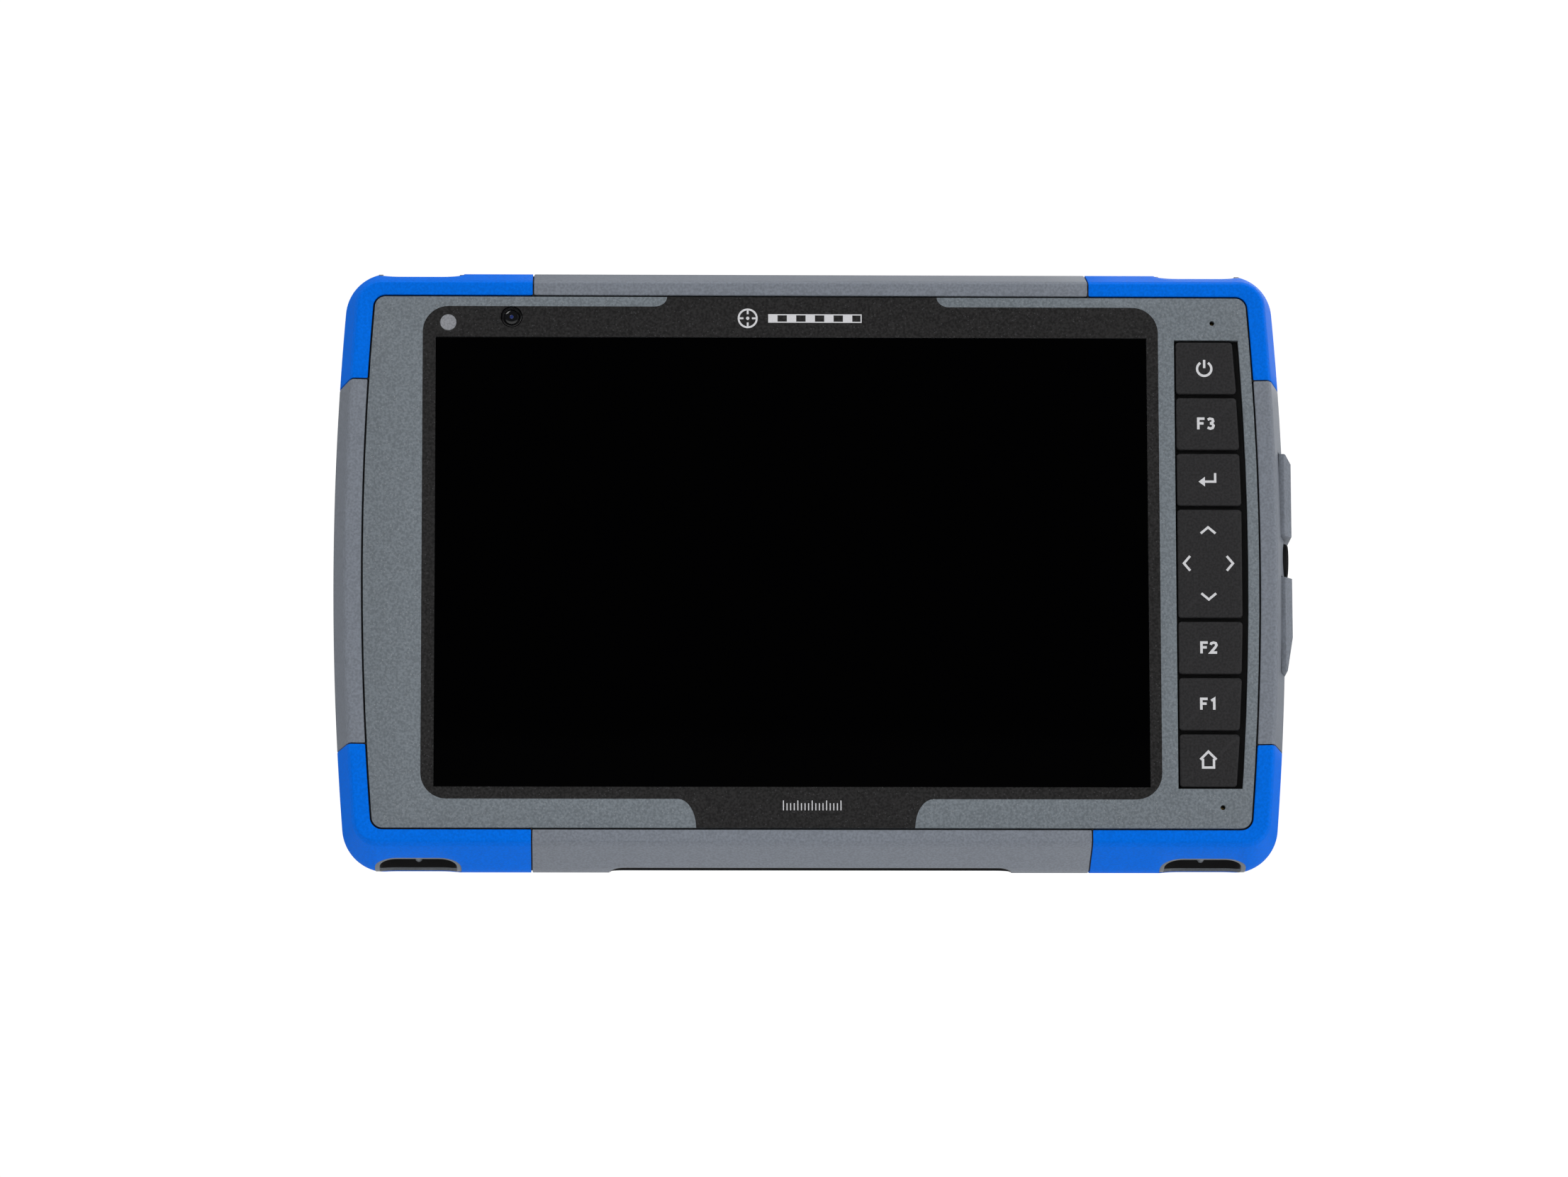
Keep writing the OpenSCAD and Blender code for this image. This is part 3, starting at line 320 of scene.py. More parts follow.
def from_cad(name, node):
    """A merged copy of a CAD node's mesh, with flat faces joined, to be finished further."""
    work = bmesh.new()
    work.from_mesh(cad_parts[node].data)
    bmesh.ops.remove_doubles(work, verts=work.verts, dist=1e-6)
    bmesh.ops.dissolve_limit(work, angle_limit=math.radians(0.4), verts=work.verts, edges=work.edges)
    return build(name, work)


def loft(name, rows, mirror_x=1, mirror_z=1, closed=False):
    """A skin through rows of points, capped at both ends or closed on itself."""
    work = bmesh.new()
    grid = [[work.verts.new((x * mirror_x, y, z * mirror_z)) for x, y, z in row] for row in rows]
    count = len(grid[0])
    for low, high in zip(grid, grid[1:] + (grid[:1] if closed else [])):
        for j in range(count):
            k = (j + 1) % count
            work.faces.new((low[j], low[k], high[k], high[j]))
    if not closed:
        work.faces.new(reversed(grid[0]))
        work.faces.new(grid[-1])
    return build(name, work)


class Strip(list):
    """An outline whose first half faces its second half, like a ribbon."""


def cap_faces(work, cap, strip):
    """Faces that close one end of a prism."""
    if strip:
        for j in range(len(cap) // 2 - 1):
            work.faces.new((cap[j], cap[j + 1], cap[-2 - j], cap[-1 - j]))
    else:
        bmesh.ops.triangulate(work, faces=[work.faces.new(cap)])


def prism(name, shapes, y0, y1, step=0.0):
    """Solids from closed outlines in X and Z, between two depths, each a step further forward."""
    work = bmesh.new()
    for i, shape in enumerate(shapes):
        front = [work.verts.new((x, y0 - i * step, z)) for x, z in shape]
        back = [work.verts.new((x, y1, z)) for x, z in shape]
        for j in range(len(shape)):
            k = (j + 1) % len(shape)
            work.faces.new((front[j], front[k], back[k], back[j]))
        for cap in (front, back):
            cap_faces(work, cap, isinstance(shape, Strip))
    bmesh.ops.recalc_face_normals(work, faces=work.faces)
    return build(name, work)


def circle(x, z, radius, count=48, start=0.0, end=2 * math.pi):
    """Points round a circle in X and Z, closed when it is whole."""
    whole = abs(end - start - 2 * math.pi) < 1e-6
    share = count if whole else count - 1
    angles = [start + (end - start) * i / share for i in range(count)]
    return [(x + radius * math.cos(a), z + radius * math.sin(a)) for a in angles]


def rounded_corners(centres, radius, count=8):
    """An outline round four corner centres, from the upper right one to the lower right one."""
    quarter = math.pi / 2
    return [point for turn, (x, z) in enumerate(centres)
            for point in circle(x, z, radius, count, turn * quarter, (turn + 1) * quarter)]


def rounded_box(x0, x1, z0, z1, radius):
    """A rectangle with rounded corners."""
    return rounded_corners([(x1 - radius, z1 - radius), (x0 + radius, z1 - radius),
                            (x0 + radius, z0 + radius), (x1 - radius, z0 + radius)], radius)


def stroke(points, width, closed=False):
    """The outline of a line of some width through points, mitred at its corners."""
    count = len(points)
    sides = ([], [])
    for i, point in enumerate(points):
        here = Vector(point)
        before = Vector(points[i - 1]) if closed or i else None
        after = Vector(points[(i + 1) % count]) if closed or i < count - 1 else None
        into = (here - before).normalized() if before is not None else (after - here).normalized()
        out = (after - here).normalized() if after is not None else into
        normal = Vector((-into.y - out.y, into.x + out.x)).normalized()
        reach = width / 2 / max(0.35, normal.dot(Vector((-into.y, into.x))))
        sides[0].append(tuple(here + normal * reach))
        sides[1].append(tuple(here - normal * reach))
    return Strip(sides[0] + sides[1][::-1])


def band(outer, inner):
    """Quads between two closed outlines with the same number of points."""
    count = len(outer)
    return [[outer[i], outer[(i + 1) % count], inner[(i + 1) % count], inner[i]] for i in range(count)]


def lathe(name, profile, centre, count=48, axis="Y"):
    """A solid turned from (radius, place along the axis) points, about a centre."""
    work = bmesh.new()
    rings = []
    for radius, along in profile:
        ring = []
        for i in range(count):
            a = 2 * math.pi * i / count
            u, v = radius * math.cos(a), radius * math.sin(a)
            spot = {"Y": (u, along, v), "X": (along, u, v), "Z": (u, v, along)}[axis]
            ring.append(work.verts.new(Vector(spot) + Vector(centre)))
        rings.append(ring)
    for low, high in zip(rings, rings[1:]):
        for j in range(count):
            k = (j + 1) % count
            work.faces.new((low[j], low[k], high[k], high[j]))
    work.faces.new(rings[0])
    work.faces.new(rings[-1])
    bmesh.ops.recalc_face_normals(work, faces=work.faces)
    return build(name, work)


def join(name, pieces):
    """Joins pieces into one and removes the others."""
    work = bmesh.new()
    for piece in pieces:
        work.from_mesh(piece.data)
    for piece in pieces:
        bpy.data.objects.remove(piece)
    return build(name, work)


def dress(piece, material, body, *nodes, slot=None, crease=32):
    """Gives a piece its material, its body and its CAD nodes, which it hides. The slot is not used."""
    finish_mesh(piece.data, crease)
    piece.data.materials.clear()
    piece.data.materials.append(material())
    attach(piece, body)
    if nodes:
        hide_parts(*nodes)
    return piece


# ---- Geometry Nodes: rows and grids of small parts ---------------------------------


def start_tree(name, inputs):
    """A new tree with a template, its finish and more named inputs, with its two end nodes."""
    tree = bpy.data.node_groups.new(name, "GeometryNodeTree")
    for label, kind in (("Template", "NodeSocketObject"), ("Finish", "NodeSocketMaterial"), *inputs):
        tree.interface.new_socket(name=label, in_out="INPUT", socket_type=kind)
    tree.interface.new_socket(name="Geometry", in_out="OUTPUT", socket_type="NodeSocketGeometry")
    return tree, tree.nodes.new("NodeGroupInput"), tree.nodes.new("NodeGroupOutput")


def finish_tree(tree, points, group_in, group_out):
    """Places the template on the points, realises the copies and sets their material."""
    nodes, link = tree.nodes, tree.links.new
    template = nodes.new("GeometryNodeObjectInfo")
    place = nodes.new("GeometryNodeInstanceOnPoints")
    real = nodes.new("GeometryNodeRealizeInstances")
    paint = nodes.new("GeometryNodeSetMaterial")
    link(group_in.outputs["Template"], template.inputs["Object"])
    link(points, place.inputs["Points"])
    link(template.outputs["Geometry"], place.inputs["Instance"])
    link(place.outputs["Instances"], real.inputs["Geometry"])
    link(real.outputs["Geometry"], paint.inputs["Geometry"])
    link(group_in.outputs["Finish"], paint.inputs["Material"])
    link(paint.outputs["Geometry"], group_out.inputs["Geometry"])


def row_tree():
    """A tree that repeats a template along a straight row."""
    tree = bpy.data.node_groups.get("Row of parts")
    if tree:
        return tree
    tree, group_in, group_out = start_tree("Row of parts", [
        ("Count", "NodeSocketInt"), ("Start", "NodeSocketVector"), ("Step", "NodeSocketVector")])
    line = tree.nodes.new("GeometryNodeMeshLine")
    tree.links.new(group_in.outputs["Count"], line.inputs["Count"])
    tree.links.new(group_in.outputs["Start"], line.inputs["Start Location"])
    tree.links.new(group_in.outputs["Step"], line.inputs["Offset"])
    finish_tree(tree, line.outputs["Mesh"], group_in, group_out)
    return tree


def grid_tree():
    """A tree that repeats a template over an upright grid, facing along Y."""
    tree = bpy.data.node_groups.get("Grid of parts")
    if tree:
        return tree
    tree, group_in, group_out = start_tree("Grid of parts", [
        ("Centre", "NodeSocketVector"), ("Width", "NodeSocketFloat"), ("Height", "NodeSocketFloat"),
        ("Across", "NodeSocketInt"), ("Up", "NodeSocketInt")])
    grid = tree.nodes.new("GeometryNodeMeshGrid")
    stand = tree.nodes.new("GeometryNodeTransform")
    stand.inputs["Rotation"].default_value = (math.pi / 2, 0, 0)
    for name, socket in (("Width", "Size X"), ("Height", "Size Y"),
                         ("Across", "Vertices X"), ("Up", "Vertices Y")):
        tree.links.new(group_in.outputs[name], grid.inputs[socket])
    tree.links.new(grid.outputs["Mesh"], stand.inputs["Geometry"])
    tree.links.new(group_in.outputs["Centre"], stand.inputs["Translation"])
    finish_tree(tree, stand.outputs["Geometry"], group_in, group_out)
    return tree


def repeat(name, tree, template, values):
    """Runs a tree on an empty object and returns its plain mesh as a piece."""
    piece = add_object(name, bpy.data.meshes.new(name))
    maker = piece.modifiers.new("repeat", "NODES")
    maker.node_group = tree
    values = {"Template": template, **values}
    for item in tree.interface.items_tree:
        if item.item_type == "SOCKET" and item.in_out == "INPUT" and item.name in values:
            maker[item.identifier] = values[item.name]
    baked(piece)
    bpy.data.objects.remove(template)
    return piece


# ---- Shader node groups ------------------------------------------------------------


def shader_group(name, inputs, outputs):
    """A new shader node group with named sockets, with its input and output nodes."""
    group = bpy.data.node_groups.new(name, "ShaderNodeTree")
    for label, kind, default in inputs:
        socket = group.interface.new_socket(name=label, in_out="INPUT", socket_type=kind)
        if default is not None:
            socket.default_value = default
    for label, kind in outputs:
        group.interface.new_socket(name=label, in_out="OUTPUT", socket_type=kind)
    return group, group.nodes.new("NodeGroupInput"), group.nodes.new("NodeGroupOutput")


def math_node(tree, operation, first, second):
    """The result of a Math node whose inputs are numbers or sockets."""
    node = tree.nodes.new("ShaderNodeMath")
    node.operation = operation
    for i, value in enumerate((first, second)):
        if isinstance(value, (int, float)):
            node.inputs[i].default_value = value
        else:
            tree.links.new(value, node.inputs[i])
    return node.outputs[0]


def spread(tree, value, low, high, to_low=0.0, to_high=1.0):
    """A clamped Map Range of a socket."""
    node = tree.nodes.new("ShaderNodeMapRange")
    for i, number in enumerate((low, high, to_low, to_high)):
        node.inputs[i + 1].default_value = number
    tree.links.new(value, node.inputs[0])
    return node.outputs[0]


def noise(tree, place, scale, detail=2.0, rough=0.5):
    """A noise value at a place."""
    node = tree.nodes.new("ShaderNodeTexNoise")
    tree.links.new(place, node.inputs["Vector"])
    if isinstance(scale, (int, float)):
        node.inputs["Scale"].default_value = scale
    else:
        tree.links.new(scale, node.inputs["Scale"])
    node.inputs["Detail"].default_value, node.inputs["Roughness"].default_value = detail, rough
    return node.outputs["Fac"]


def grain_group():
    """Fine spark-eroded grain: a height and a patchy tone."""
    group = bpy.data.node_groups.get("Moulded grain")
    if group:
        return group
    group, into, out = shader_group("Moulded grain", [
        ("Place", "NodeSocketVector", None), ("Scale", "NodeSocketFloat", 2500.0)],
        [("Height", "NodeSocketFloat"), ("Tone", "NodeSocketFloat")])
    fine = noise(group, into.outputs["Place"], into.outputs["Scale"], 1.0, 0.5)
    coarse_scale = math_node(group, "MULTIPLY", into.outputs["Scale"], 0.37)
    coarse = noise(group, into.outputs["Place"], coarse_scale, 2.0)
    height = math_node(group, "ADD", math_node(group, "MULTIPLY", fine, 0.6),
                       math_node(group, "MULTIPLY", coarse, 0.4))
    broad = noise(group, into.outputs["Place"], 26.0, 3.0)
    tone = math_node(group, "ADD", math_node(group, "MULTIPLY", spread(group, fine, 0.35, 0.65), 0.85),
                     math_node(group, "MULTIPLY", spread(group, broad, 0.3, 0.7), 0.15))
    group.links.new(height, out.inputs["Height"])
    group.links.new(tone, out.inputs["Tone"])
    return group


def sparkle_group():
    """Tiny bright flakes scattered in a print or an overlay."""
    group = bpy.data.node_groups.get("Metal flakes")
    if group:
        return group
    group, into, out = shader_group("Metal flakes", [
        ("Place", "NodeSocketVector", None), ("Scale", "NodeSocketFloat", 3200.0),
        ("Share", "NodeSocketFloat", 0.12)], [("Mask", "NodeSocketFloat")])
    cells = group.nodes.new("ShaderNodeTexVoronoi")
    group.links.new(into.outputs["Place"], cells.inputs["Vector"])
    group.links.new(into.outputs["Scale"], cells.inputs["Scale"])
    pick = group.nodes.new("ShaderNodeSeparateColor")
    group.links.new(cells.outputs["Color"], pick.inputs[0])
    chosen = math_node(group, "LESS_THAN", pick.outputs[0], into.outputs["Share"])
    near = spread(group, cells.outputs["Distance"], 0.25, 0.5, 1.0, 0.0)
    bright = math_node(group, "MULTIPLY", chosen, pick.outputs[1])
    group.links.new(math_node(group, "MULTIPLY", bright, near), out.inputs["Mask"])
    return group


def wear_group():
    """Handling wear along raised edges, broken up by noise."""
    group = bpy.data.node_groups.get("Edge wear")
    if group:
        return group
    group, into, out = shader_group("Edge wear", [
        ("Place", "NodeSocketVector", None), ("Reach", "NodeSocketFloat", 0.55)],
        [("Mask", "NodeSocketFloat")])
    shape = group.nodes.new("ShaderNodeNewGeometry")
    edge = spread(group, shape.outputs["Pointiness"], 0.52, 0.6)
    patch = spread(group, noise(group, into.outputs["Place"], 180.0, 4.0), 0.42, 0.62)
    group.links.new(math_node(group, "MULTIPLY", math_node(group, "MULTIPLY", edge, patch),
                              into.outputs["Reach"]), out.inputs["Mask"])
    return group


# ---- Materials ---------------------------------------------------------------------


def place_group(tree, group, place, **values):
    """Puts a shader group into a material, fed with a place and its own values."""
    node = tree.nodes.new("ShaderNodeGroup")
    node.node_tree = group
    tree.links.new(place, node.inputs["Place"])
    for name, value in values.items():
        node.inputs[name].default_value = value
    return node


def tint(tree, mask, first, second):
    """A colour mixed from first to second by a mask; either may be a socket."""
    node = tree.nodes.new("ShaderNodeMix")
    node.data_type = "RGBA"
    tree.links.new(mask, node.inputs["Factor"])
    for socket, value in ((node.inputs[6], first), (node.inputs[7], second)):
        if isinstance(value, bpy.types.NodeSocket):
            tree.links.new(value, socket)
        else:
            socket.default_value = (*value, 1.0)
    return node.outputs[2]


def shade(base, factor):
    """A colour scaled by a factor."""
    return tuple(min(1.0, c * factor) for c in base)


def blank_material(name):
    """A new node material, with its tree, its shader and its Object coordinates."""
    material = bpy.data.materials.new(name)
    material.use_nodes = True
    tree = material.node_tree
    place = tree.nodes.new("ShaderNodeTexCoord").outputs["Object"]
    return material, tree, tree.nodes["Principled BSDF"], place


def finish(name, base, rough=(0.45, 0.6), scale=2500.0, bump=0.08, depth=0.00004, spread_tone=0.12,
           flakes=0.0, flake_tint=None, flake_scale=3200.0, wear=0.0, metallic=0.0, specular=0.5,
           coat=0.0, ior=1.5):
    """A moulded, printed or machined finish with grain, tone, flakes and edge wear."""
    name += "_finish"
    known = bpy.data.materials.get(name)
    if known:
        return known
    material, tree, shader, place = blank_material(name)
    grain = place_group(tree, grain_group(), place, Scale=scale)
    tone = tint(tree, grain.outputs["Tone"], shade(base, 1 - spread_tone), shade(base, 1 + spread_tone))
    if flakes:
        mask = place_group(tree, sparkle_group(), place, Scale=flake_scale, Share=flakes)
        tone = tint(tree, mask.outputs["Mask"], tone, flake_tint or shade(base, 2.2))
    if wear:
        worn = place_group(tree, wear_group(), place, Reach=wear)
        tone = tint(tree, worn.outputs["Mask"], tone, shade(base, 1.7))
    tree.links.new(tone, shader.inputs["Base Color"])
    tree.links.new(spread(tree, grain.outputs["Tone"], 0.0, 1.0, *rough), shader.inputs["Roughness"])
    raised = tree.nodes.new("ShaderNodeBump")
    raised.inputs["Strength"].default_value = bump
    raised.inputs["Distance"].default_value = depth
    tree.links.new(grain.outputs["Height"], raised.inputs["Height"])
    tree.links.new(raised.outputs["Normal"], shader.inputs["Normal"])
    shader.inputs["Metallic"].default_value = metallic
    shader.inputs["Specular IOR Level"].default_value = specular
    shader.inputs["Coat Weight"].default_value = coat
    shader.inputs["Coat Roughness"].default_value = 0.2
    shader.inputs["IOR"].default_value = ior
    return material


def bumper_blue():
    return finish("bumper_blue", sizes("ring").blue, rough=(0.5, 0.62), scale=1900, bump=0.10,
                  spread_tone=0.10, wear=0.2, specular=0.1, ior=1.2)


def rail_grey():
    return finish("rail_grey", sizes("ring").grey, rough=(0.52, 0.64), scale=1900, bump=0.12,
                  spread_tone=0.15, wear=0.2, specular=0.2)


def overlay_grey():
    return finish("overlay_grey", sizes("front").overlay, rough=(0.52, 0.66), scale=1900, bump=0.10,
                  spread_tone=0.20, flakes=0.10, flake_tint=(0.26, 0.28, 0.30), flake_scale=3000.0,
                  specular=0.2)


def mask_black():
    return finish("mask_black", sizes("front").mask, rough=(0.5, 0.64), scale=1900, bump=0.10,
                  spread_tone=0.40, flakes=0.08, flake_tint=(0.055, 0.055, 0.058), specular=0.12)


def key_black():
    return finish("key_black", sizes("front").key, rough=(0.5, 0.62), scale=2000, bump=0.10,
                  spread_tone=0.25, wear=0.3, specular=0.16)


def housing_dark():
    return finish("housing_dark", sizes("back").housing, rough=(0.55, 0.72), scale=1900, bump=0.25,
                  depth=0.00008, spread_tone=0.14, wear=0.35, specular=0.35)


def trim_black():
    return finish("trim_black", (0.012, 0.012, 0.013), rough=(0.42, 0.55), scale=2600, bump=0.10,
                  spread_tone=0.12, specular=0.35)


# Dark rubber of the seals. It also colours the strap pockets' linings, whose darkness is partly painted
# shade.
def seal_black():
    return finish("seal_black", (0.0085, 0.0085, 0.009), rough=(0.6, 0.75), scale=2400, bump=0.1,
                  specular=0.2)


def mat_black():
    return finish("mat_black", (0.0135, 0.0135, 0.0140), rough=(0.6, 0.75), scale=2400, bump=0.1,
                  specular=0.2)


def anchor_grey():
    return finish("anchor_grey", (0.135, 0.150, 0.168), rough=(0.5, 0.62), scale=2400, bump=0.15,
                  wear=0.3, specular=0.35)


def legend_white():
    return finish("legend_white", sizes("front").mark, rough=(0.45, 0.55), scale=4200, bump=0.04,
                  spread_tone=0.05, specular=0.3)


def steel():
    return finish("steel", (0.52, 0.53, 0.55), rough=(0.22, 0.34), scale=1800, bump=0.03,
                  spread_tone=0.05, metallic=1.0)


def socket_metal():
    return finish("socket_metal", (0.60, 0.61, 0.63), rough=(0.18, 0.3), scale=1500, bump=0.03,
                  spread_tone=0.05, metallic=1.0)


def contact_gold():
    return finish("contact_gold", (0.90, 0.62, 0.22), rough=(0.2, 0.32), scale=2200, bump=0.03,
                  spread_tone=0.06, metallic=1.0)


def brass():
    return finish("brass", (0.70, 0.50, 0.20), rough=(0.28, 0.4), scale=2000, bump=0.05,
                  spread_tone=0.08, metallic=1.0)


def screw_black():
    return finish("screw_black", (0.05, 0.05, 0.055), rough=(0.3, 0.45), scale=1800, bump=0.05,
                  metallic=0.9, wear=0.5)


def plate_metal():
    """Brushed metal, with its streaks along X."""
    known = bpy.data.materials.get("plate_metal_finish")
    if known:
        return known
    material = finish("plate_metal", (0.56, 0.57, 0.59), rough=(0.3, 0.45), scale=1600, bump=0.05,
                      spread_tone=0.06, metallic=1.0)
    tree = material.node_tree
    stretch = tree.nodes.new("ShaderNodeMapping")
    stretch.inputs["Scale"].default_value = (0.02, 1.0, 1.0)
    coords = next(n for n in tree.nodes if n.type == "TEX_COORD")
    tree.links.new(coords.outputs["Object"], stretch.inputs["Vector"])
    for node in tree.nodes:
        if node.type == "GROUP":
            tree.links.new(stretch.outputs["Vector"], node.inputs["Place"])
    return material


def board_green():
    return finish("board_green", (0.010, 0.085, 0.035), rough=(0.3, 0.42), scale=900, bump=0.04,
                  spread_tone=0.2, coat=0.4)


def ceramic():
    return finish("ceramic", (0.62, 0.56, 0.44), rough=(0.35, 0.5), scale=1200, bump=0.05)


def bare_aluminium():
    return finish("bare_aluminium", (0.66, 0.67, 0.69), rough=(0.32, 0.45), scale=1500, bump=0.04,
                  spread_tone=0.05, metallic=1.0)


def battery_black():
    return finish("battery_black", (0.02, 0.02, 0.022), rough=(0.4, 0.55), scale=1800, bump=0.12)


def panel_black():
    return finish("panel_black", (0.008, 0.008, 0.01), rough=(0.25, 0.35), scale=1500, bump=0.03)


def sensor_window():
    return finish("sensor_window", (0.235, 0.242, 0.262), rough=(0.35, 0.45), scale=2400, bump=0.05,
                  spread_tone=0.18, specular=0.3)


def polished(name, base, rough, specular, coat=0.0):
    """A polished dark face with faint smears that only change its gloss."""
    name += "_finish"
    known = bpy.data.materials.get(name)
    if known:
        return known
    material, tree, shader, place = blank_material(name)
    smear = spread(tree, noise(tree, place, 34.0, 5.0, 0.6), 0.35, 0.75, rough, rough + 0.05)
    tree.links.new(smear, shader.inputs["Roughness"])
    depth = noise(tree, place, 60.0, 2.0)
    tree.links.new(tint(tree, depth, base, shade(base, 1.3)), shader.inputs["Base Color"])
    shader.inputs["Specular IOR Level"].default_value = specular
    shader.inputs["Coat Weight"].default_value = coat
    shader.inputs["Coat Roughness"].default_value = 0.05
    return material


def screen_glass():
    return polished("screen_glass", (0.0004, 0.0004, 0.0005), 0.05, 0.01)


def lens_glass():
    return polished("lens_glass", (0.0012, 0.0014, 0.0022), 0.06, 0.5, coat=0.3)


def iris_blue():
    return polished("iris_blue", (0.010, 0.022, 0.110), 0.12, 0.5)


def barrel_black():
    return polished("barrel_black", (0.0016, 0.0016, 0.0018), 0.18, 0.5)


# ---- Ring pieces -------------------------------------------------------------------


def corners():
    """The four corners of the instrument: side, height and name."""
    for right, side in ((-1, "left"), (1, "right")):
        for up, level in ((-1, "bottom"), (1, "top")):
            yield right, up, f"{level}_{side}"


def ring_rows(section, stations):
    """Rows of points: for each station, one point of every outline of the section."""
    paths = [(stations(Outline(w, h, r)), y) for w, h, r, y in section]
    count = len(paths[0][0])
    return [[(path[i][0], y, path[i][1]) for path, y in paths] for i in range(count)]


def bumper_stations(outline):
    """Points from a side rail's end, round the corner, to the top rail's end."""
    ring = sizes("ring")
    side = [outline.side(z) for z in blends(ring.split_z, outline.side_top(), 6)[:-1]]
    turn = [outline.arc(t) for t in blends(0, 1, 20)]
    top = [(x, outline.half_h) for x in blends(outline.corner_x, ring.split_x, 5)[1:]]
    return side + turn + top


def side_stations(outline):
    """Points up the length of a side rail."""
    end = sizes("ring").split_z - sizes("ring").seam
    return [outline.side(z) for z in blends(-end, end, 24)]


def top_stations(outline):
    """Points along the length of the top rail."""
    end = sizes("ring").split_x - sizes("ring").seam
    return [(x, outline.half_h) for x in blends(end, -end, 12)]


def pocket_outline(inset):
    """Plan of the right hand strap pockets in X and Y, smaller by an inset."""
    middle, half_x, corner = POST_HIGH.x - POST_R, 9.65 * MM, 5 * MM
    return rounded_box(middle - half_x + inset, middle + half_x - inset, POST_LOW.y + inset,
                       POST_HIGH.y - inset, corner - inset)


def strap_cutter(mirror_x, mirror_z):
    """Upright block with rounded corners that cuts a strap pocket."""
    bottom, clear = OUTER_H - 9.6 * MM, OUTER_H + 2 * MM
    rows = [[(x, y, z) for x, y in pocket_outline(0)] for z in (bottom, clear)]
    return loft("strap_cutter", rows, mirror_x, mirror_z)


def skin_height(section, y):
    """Half height of the ring's outer skin at a depth."""
    best = 0.0
    for (_, h0, _, y0), (_, h1, _, y1) in zip(section, section[1:]):
        if min(y0, y1) <= y <= max(y0, y1) and y0 != y1:
            best = max(best, h0 + (h1 - h0) * (y - y0) / (y1 - y0))
    return best


def lining(name, outer, inner, low, drop, mirror_x=1, mirror_z=1):
    """A thin wall between two plans, from a height up to a drop below the ring's skin."""
    section = ring_section()
    mouth = lambda y: skin_height(section, y) - drop
    rows = [[(x, y, low) for x, y in outer], [(x, y, mouth(y)) for x, y in outer],
            [(x, y, mouth(y)) for x, y in inner], [(x, y, low) for x, y in inner]]
    return loft(name, rows, mirror_x, mirror_z, closed=True)


class COLLECTOR_OT_bumpers(bpy.types.Operator):
    """Moulds the four blue corner bumpers with their strap pockets"""
    bl_idname = "collector.bumpers"
    bl_label = "Corner bumpers"

    def execute(self, context):
        section = ring_section()
        for right, up, place in corners():
            node = "bumper_" + place
            piece = loft(node + "_skin", ring_rows(section, bumper_stations), right, up)
            cutter = strap_cutter(right, up)
            for made in (piece, cutter):
                finish_mesh(made.data)
            carve(piece, [cutter])
            soften(piece, 0.22 * MM, angle=42)
            dress(piece, bumper_blue, "case", node)
        return {"FINISHED"}


def block(name, low, high):
    """A plain block from corner to corner, to cut with or to repeat."""
    shape = [(low[0], low[2]), (high[0], low[2]), (high[0], high[2]), (low[0], high[2])]
    return prism(name, [shape], low[1], high[1])


def hinge_axis():
    """Place in X and Y of the port doors' pins."""
    low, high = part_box("door_pins")
    return (low.x + high.x) / 2, (low.y + high.y) / 2


def door_cutters():
    """Windows of the port doors and the round mouth of the power inlet."""
    cutters = []
    gap, clear, swing = 0.3 * MM, OUTER_W + 4 * MM, 1.5 * MM
    x, y = hinge_axis()
    edge = y - KNUCKLE_R - 0.1 * MM
    for node in PORT_DOORS:
        low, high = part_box(node)
        cutters.append(block("door_cut", (CASE_HIGH.x, low.y - gap, low.z - gap),
                             (clear, edge + gap, high.z + gap)))
        cutters.append(block("knuckle_cut", (x - KNUCKLE_R - gap, edge, low.z - gap),
                             (clear, y + KNUCKLE_R + gap + swing, high.z + gap)))
    bore = [(INLET_R, CASE_HIGH.x - 2 * MM), (INLET_R, OUTER_W - 1.2 * MM),
            (INLET_R + 1.6 * MM, OUTER_W + 1 * MM)]
    cutters.append(lathe("inlet_cut", bore, (0, INLET.y, INLET.z), axis="X"))
    return cutters


def hinge_ears():
    """Round ears in the rail that hold the ends of the door pins."""
    ears = []
    x, y = hinge_axis()
    edge, gap, tall = 0.15 * MM, 0.3 * MM, 2.4 * MM
    for node in PORT_DOORS:
        low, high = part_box(node)
        for z in (low.z - gap - tall, high.z + gap):
            turned = [(KNUCKLE_R - edge, z), (KNUCKLE_R, z + edge), (KNUCKLE_R, z + tall - edge),
                      (KNUCKLE_R - edge, z + tall)]
            ears.append(lathe("ear", turned, (x, y, 0), count=32, axis="Z"))
    return ears


def dock_plan(inset):
    """Plan of the dock recess in X and Y, smaller by an inset."""
    low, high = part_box("dock_block")
    middle, half, corner = (PIN_LOW.y + PIN_HIGH.y) / 2, 5.3 * MM, 3 * MM
    return rounded_box(low.x + inset, high.x - inset, middle - half + inset, middle + half - inset,
                       corner - inset)


def dock_cutter():
    """Upright block that cuts the dock recess."""
    return loft("dock_cut", [[(x, y, z) for x, y in dock_plan(-0.05 * MM)] for z in (-OUTER_H - MM, 0)])


def seam_tongues(section):
    """Dark tongues of the bumpers, which close the seams under the ends of the rails."""
    ring, inset, past = sizes("ring"), 0.45 * MM, 0.05 * MM
    front, back = RAIL_LOW.y + inset, RAIL_HIGH.y - inset
    core = [(w - inset, h - inset, max(r - inset, 0.2 * MM), min(max(y, front), back))
            for w, h, r, y in section]
    span_x = (ring.split_x + past, ring.split_x - ring.seam - past)
    span_z = (ring.split_z - ring.seam - past, ring.split_z + past)
    flat = ring_rows(core, lambda outline: [(x, outline.half_h) for x in span_x])
    bowed = ring_rows(core, lambda outline: [outline.side(z) for z in span_z])
    return join("seam_tongues", [loft("tongue", rows, right, up)
                                 for rows in (flat, bowed) for right, up, _ in corners()])


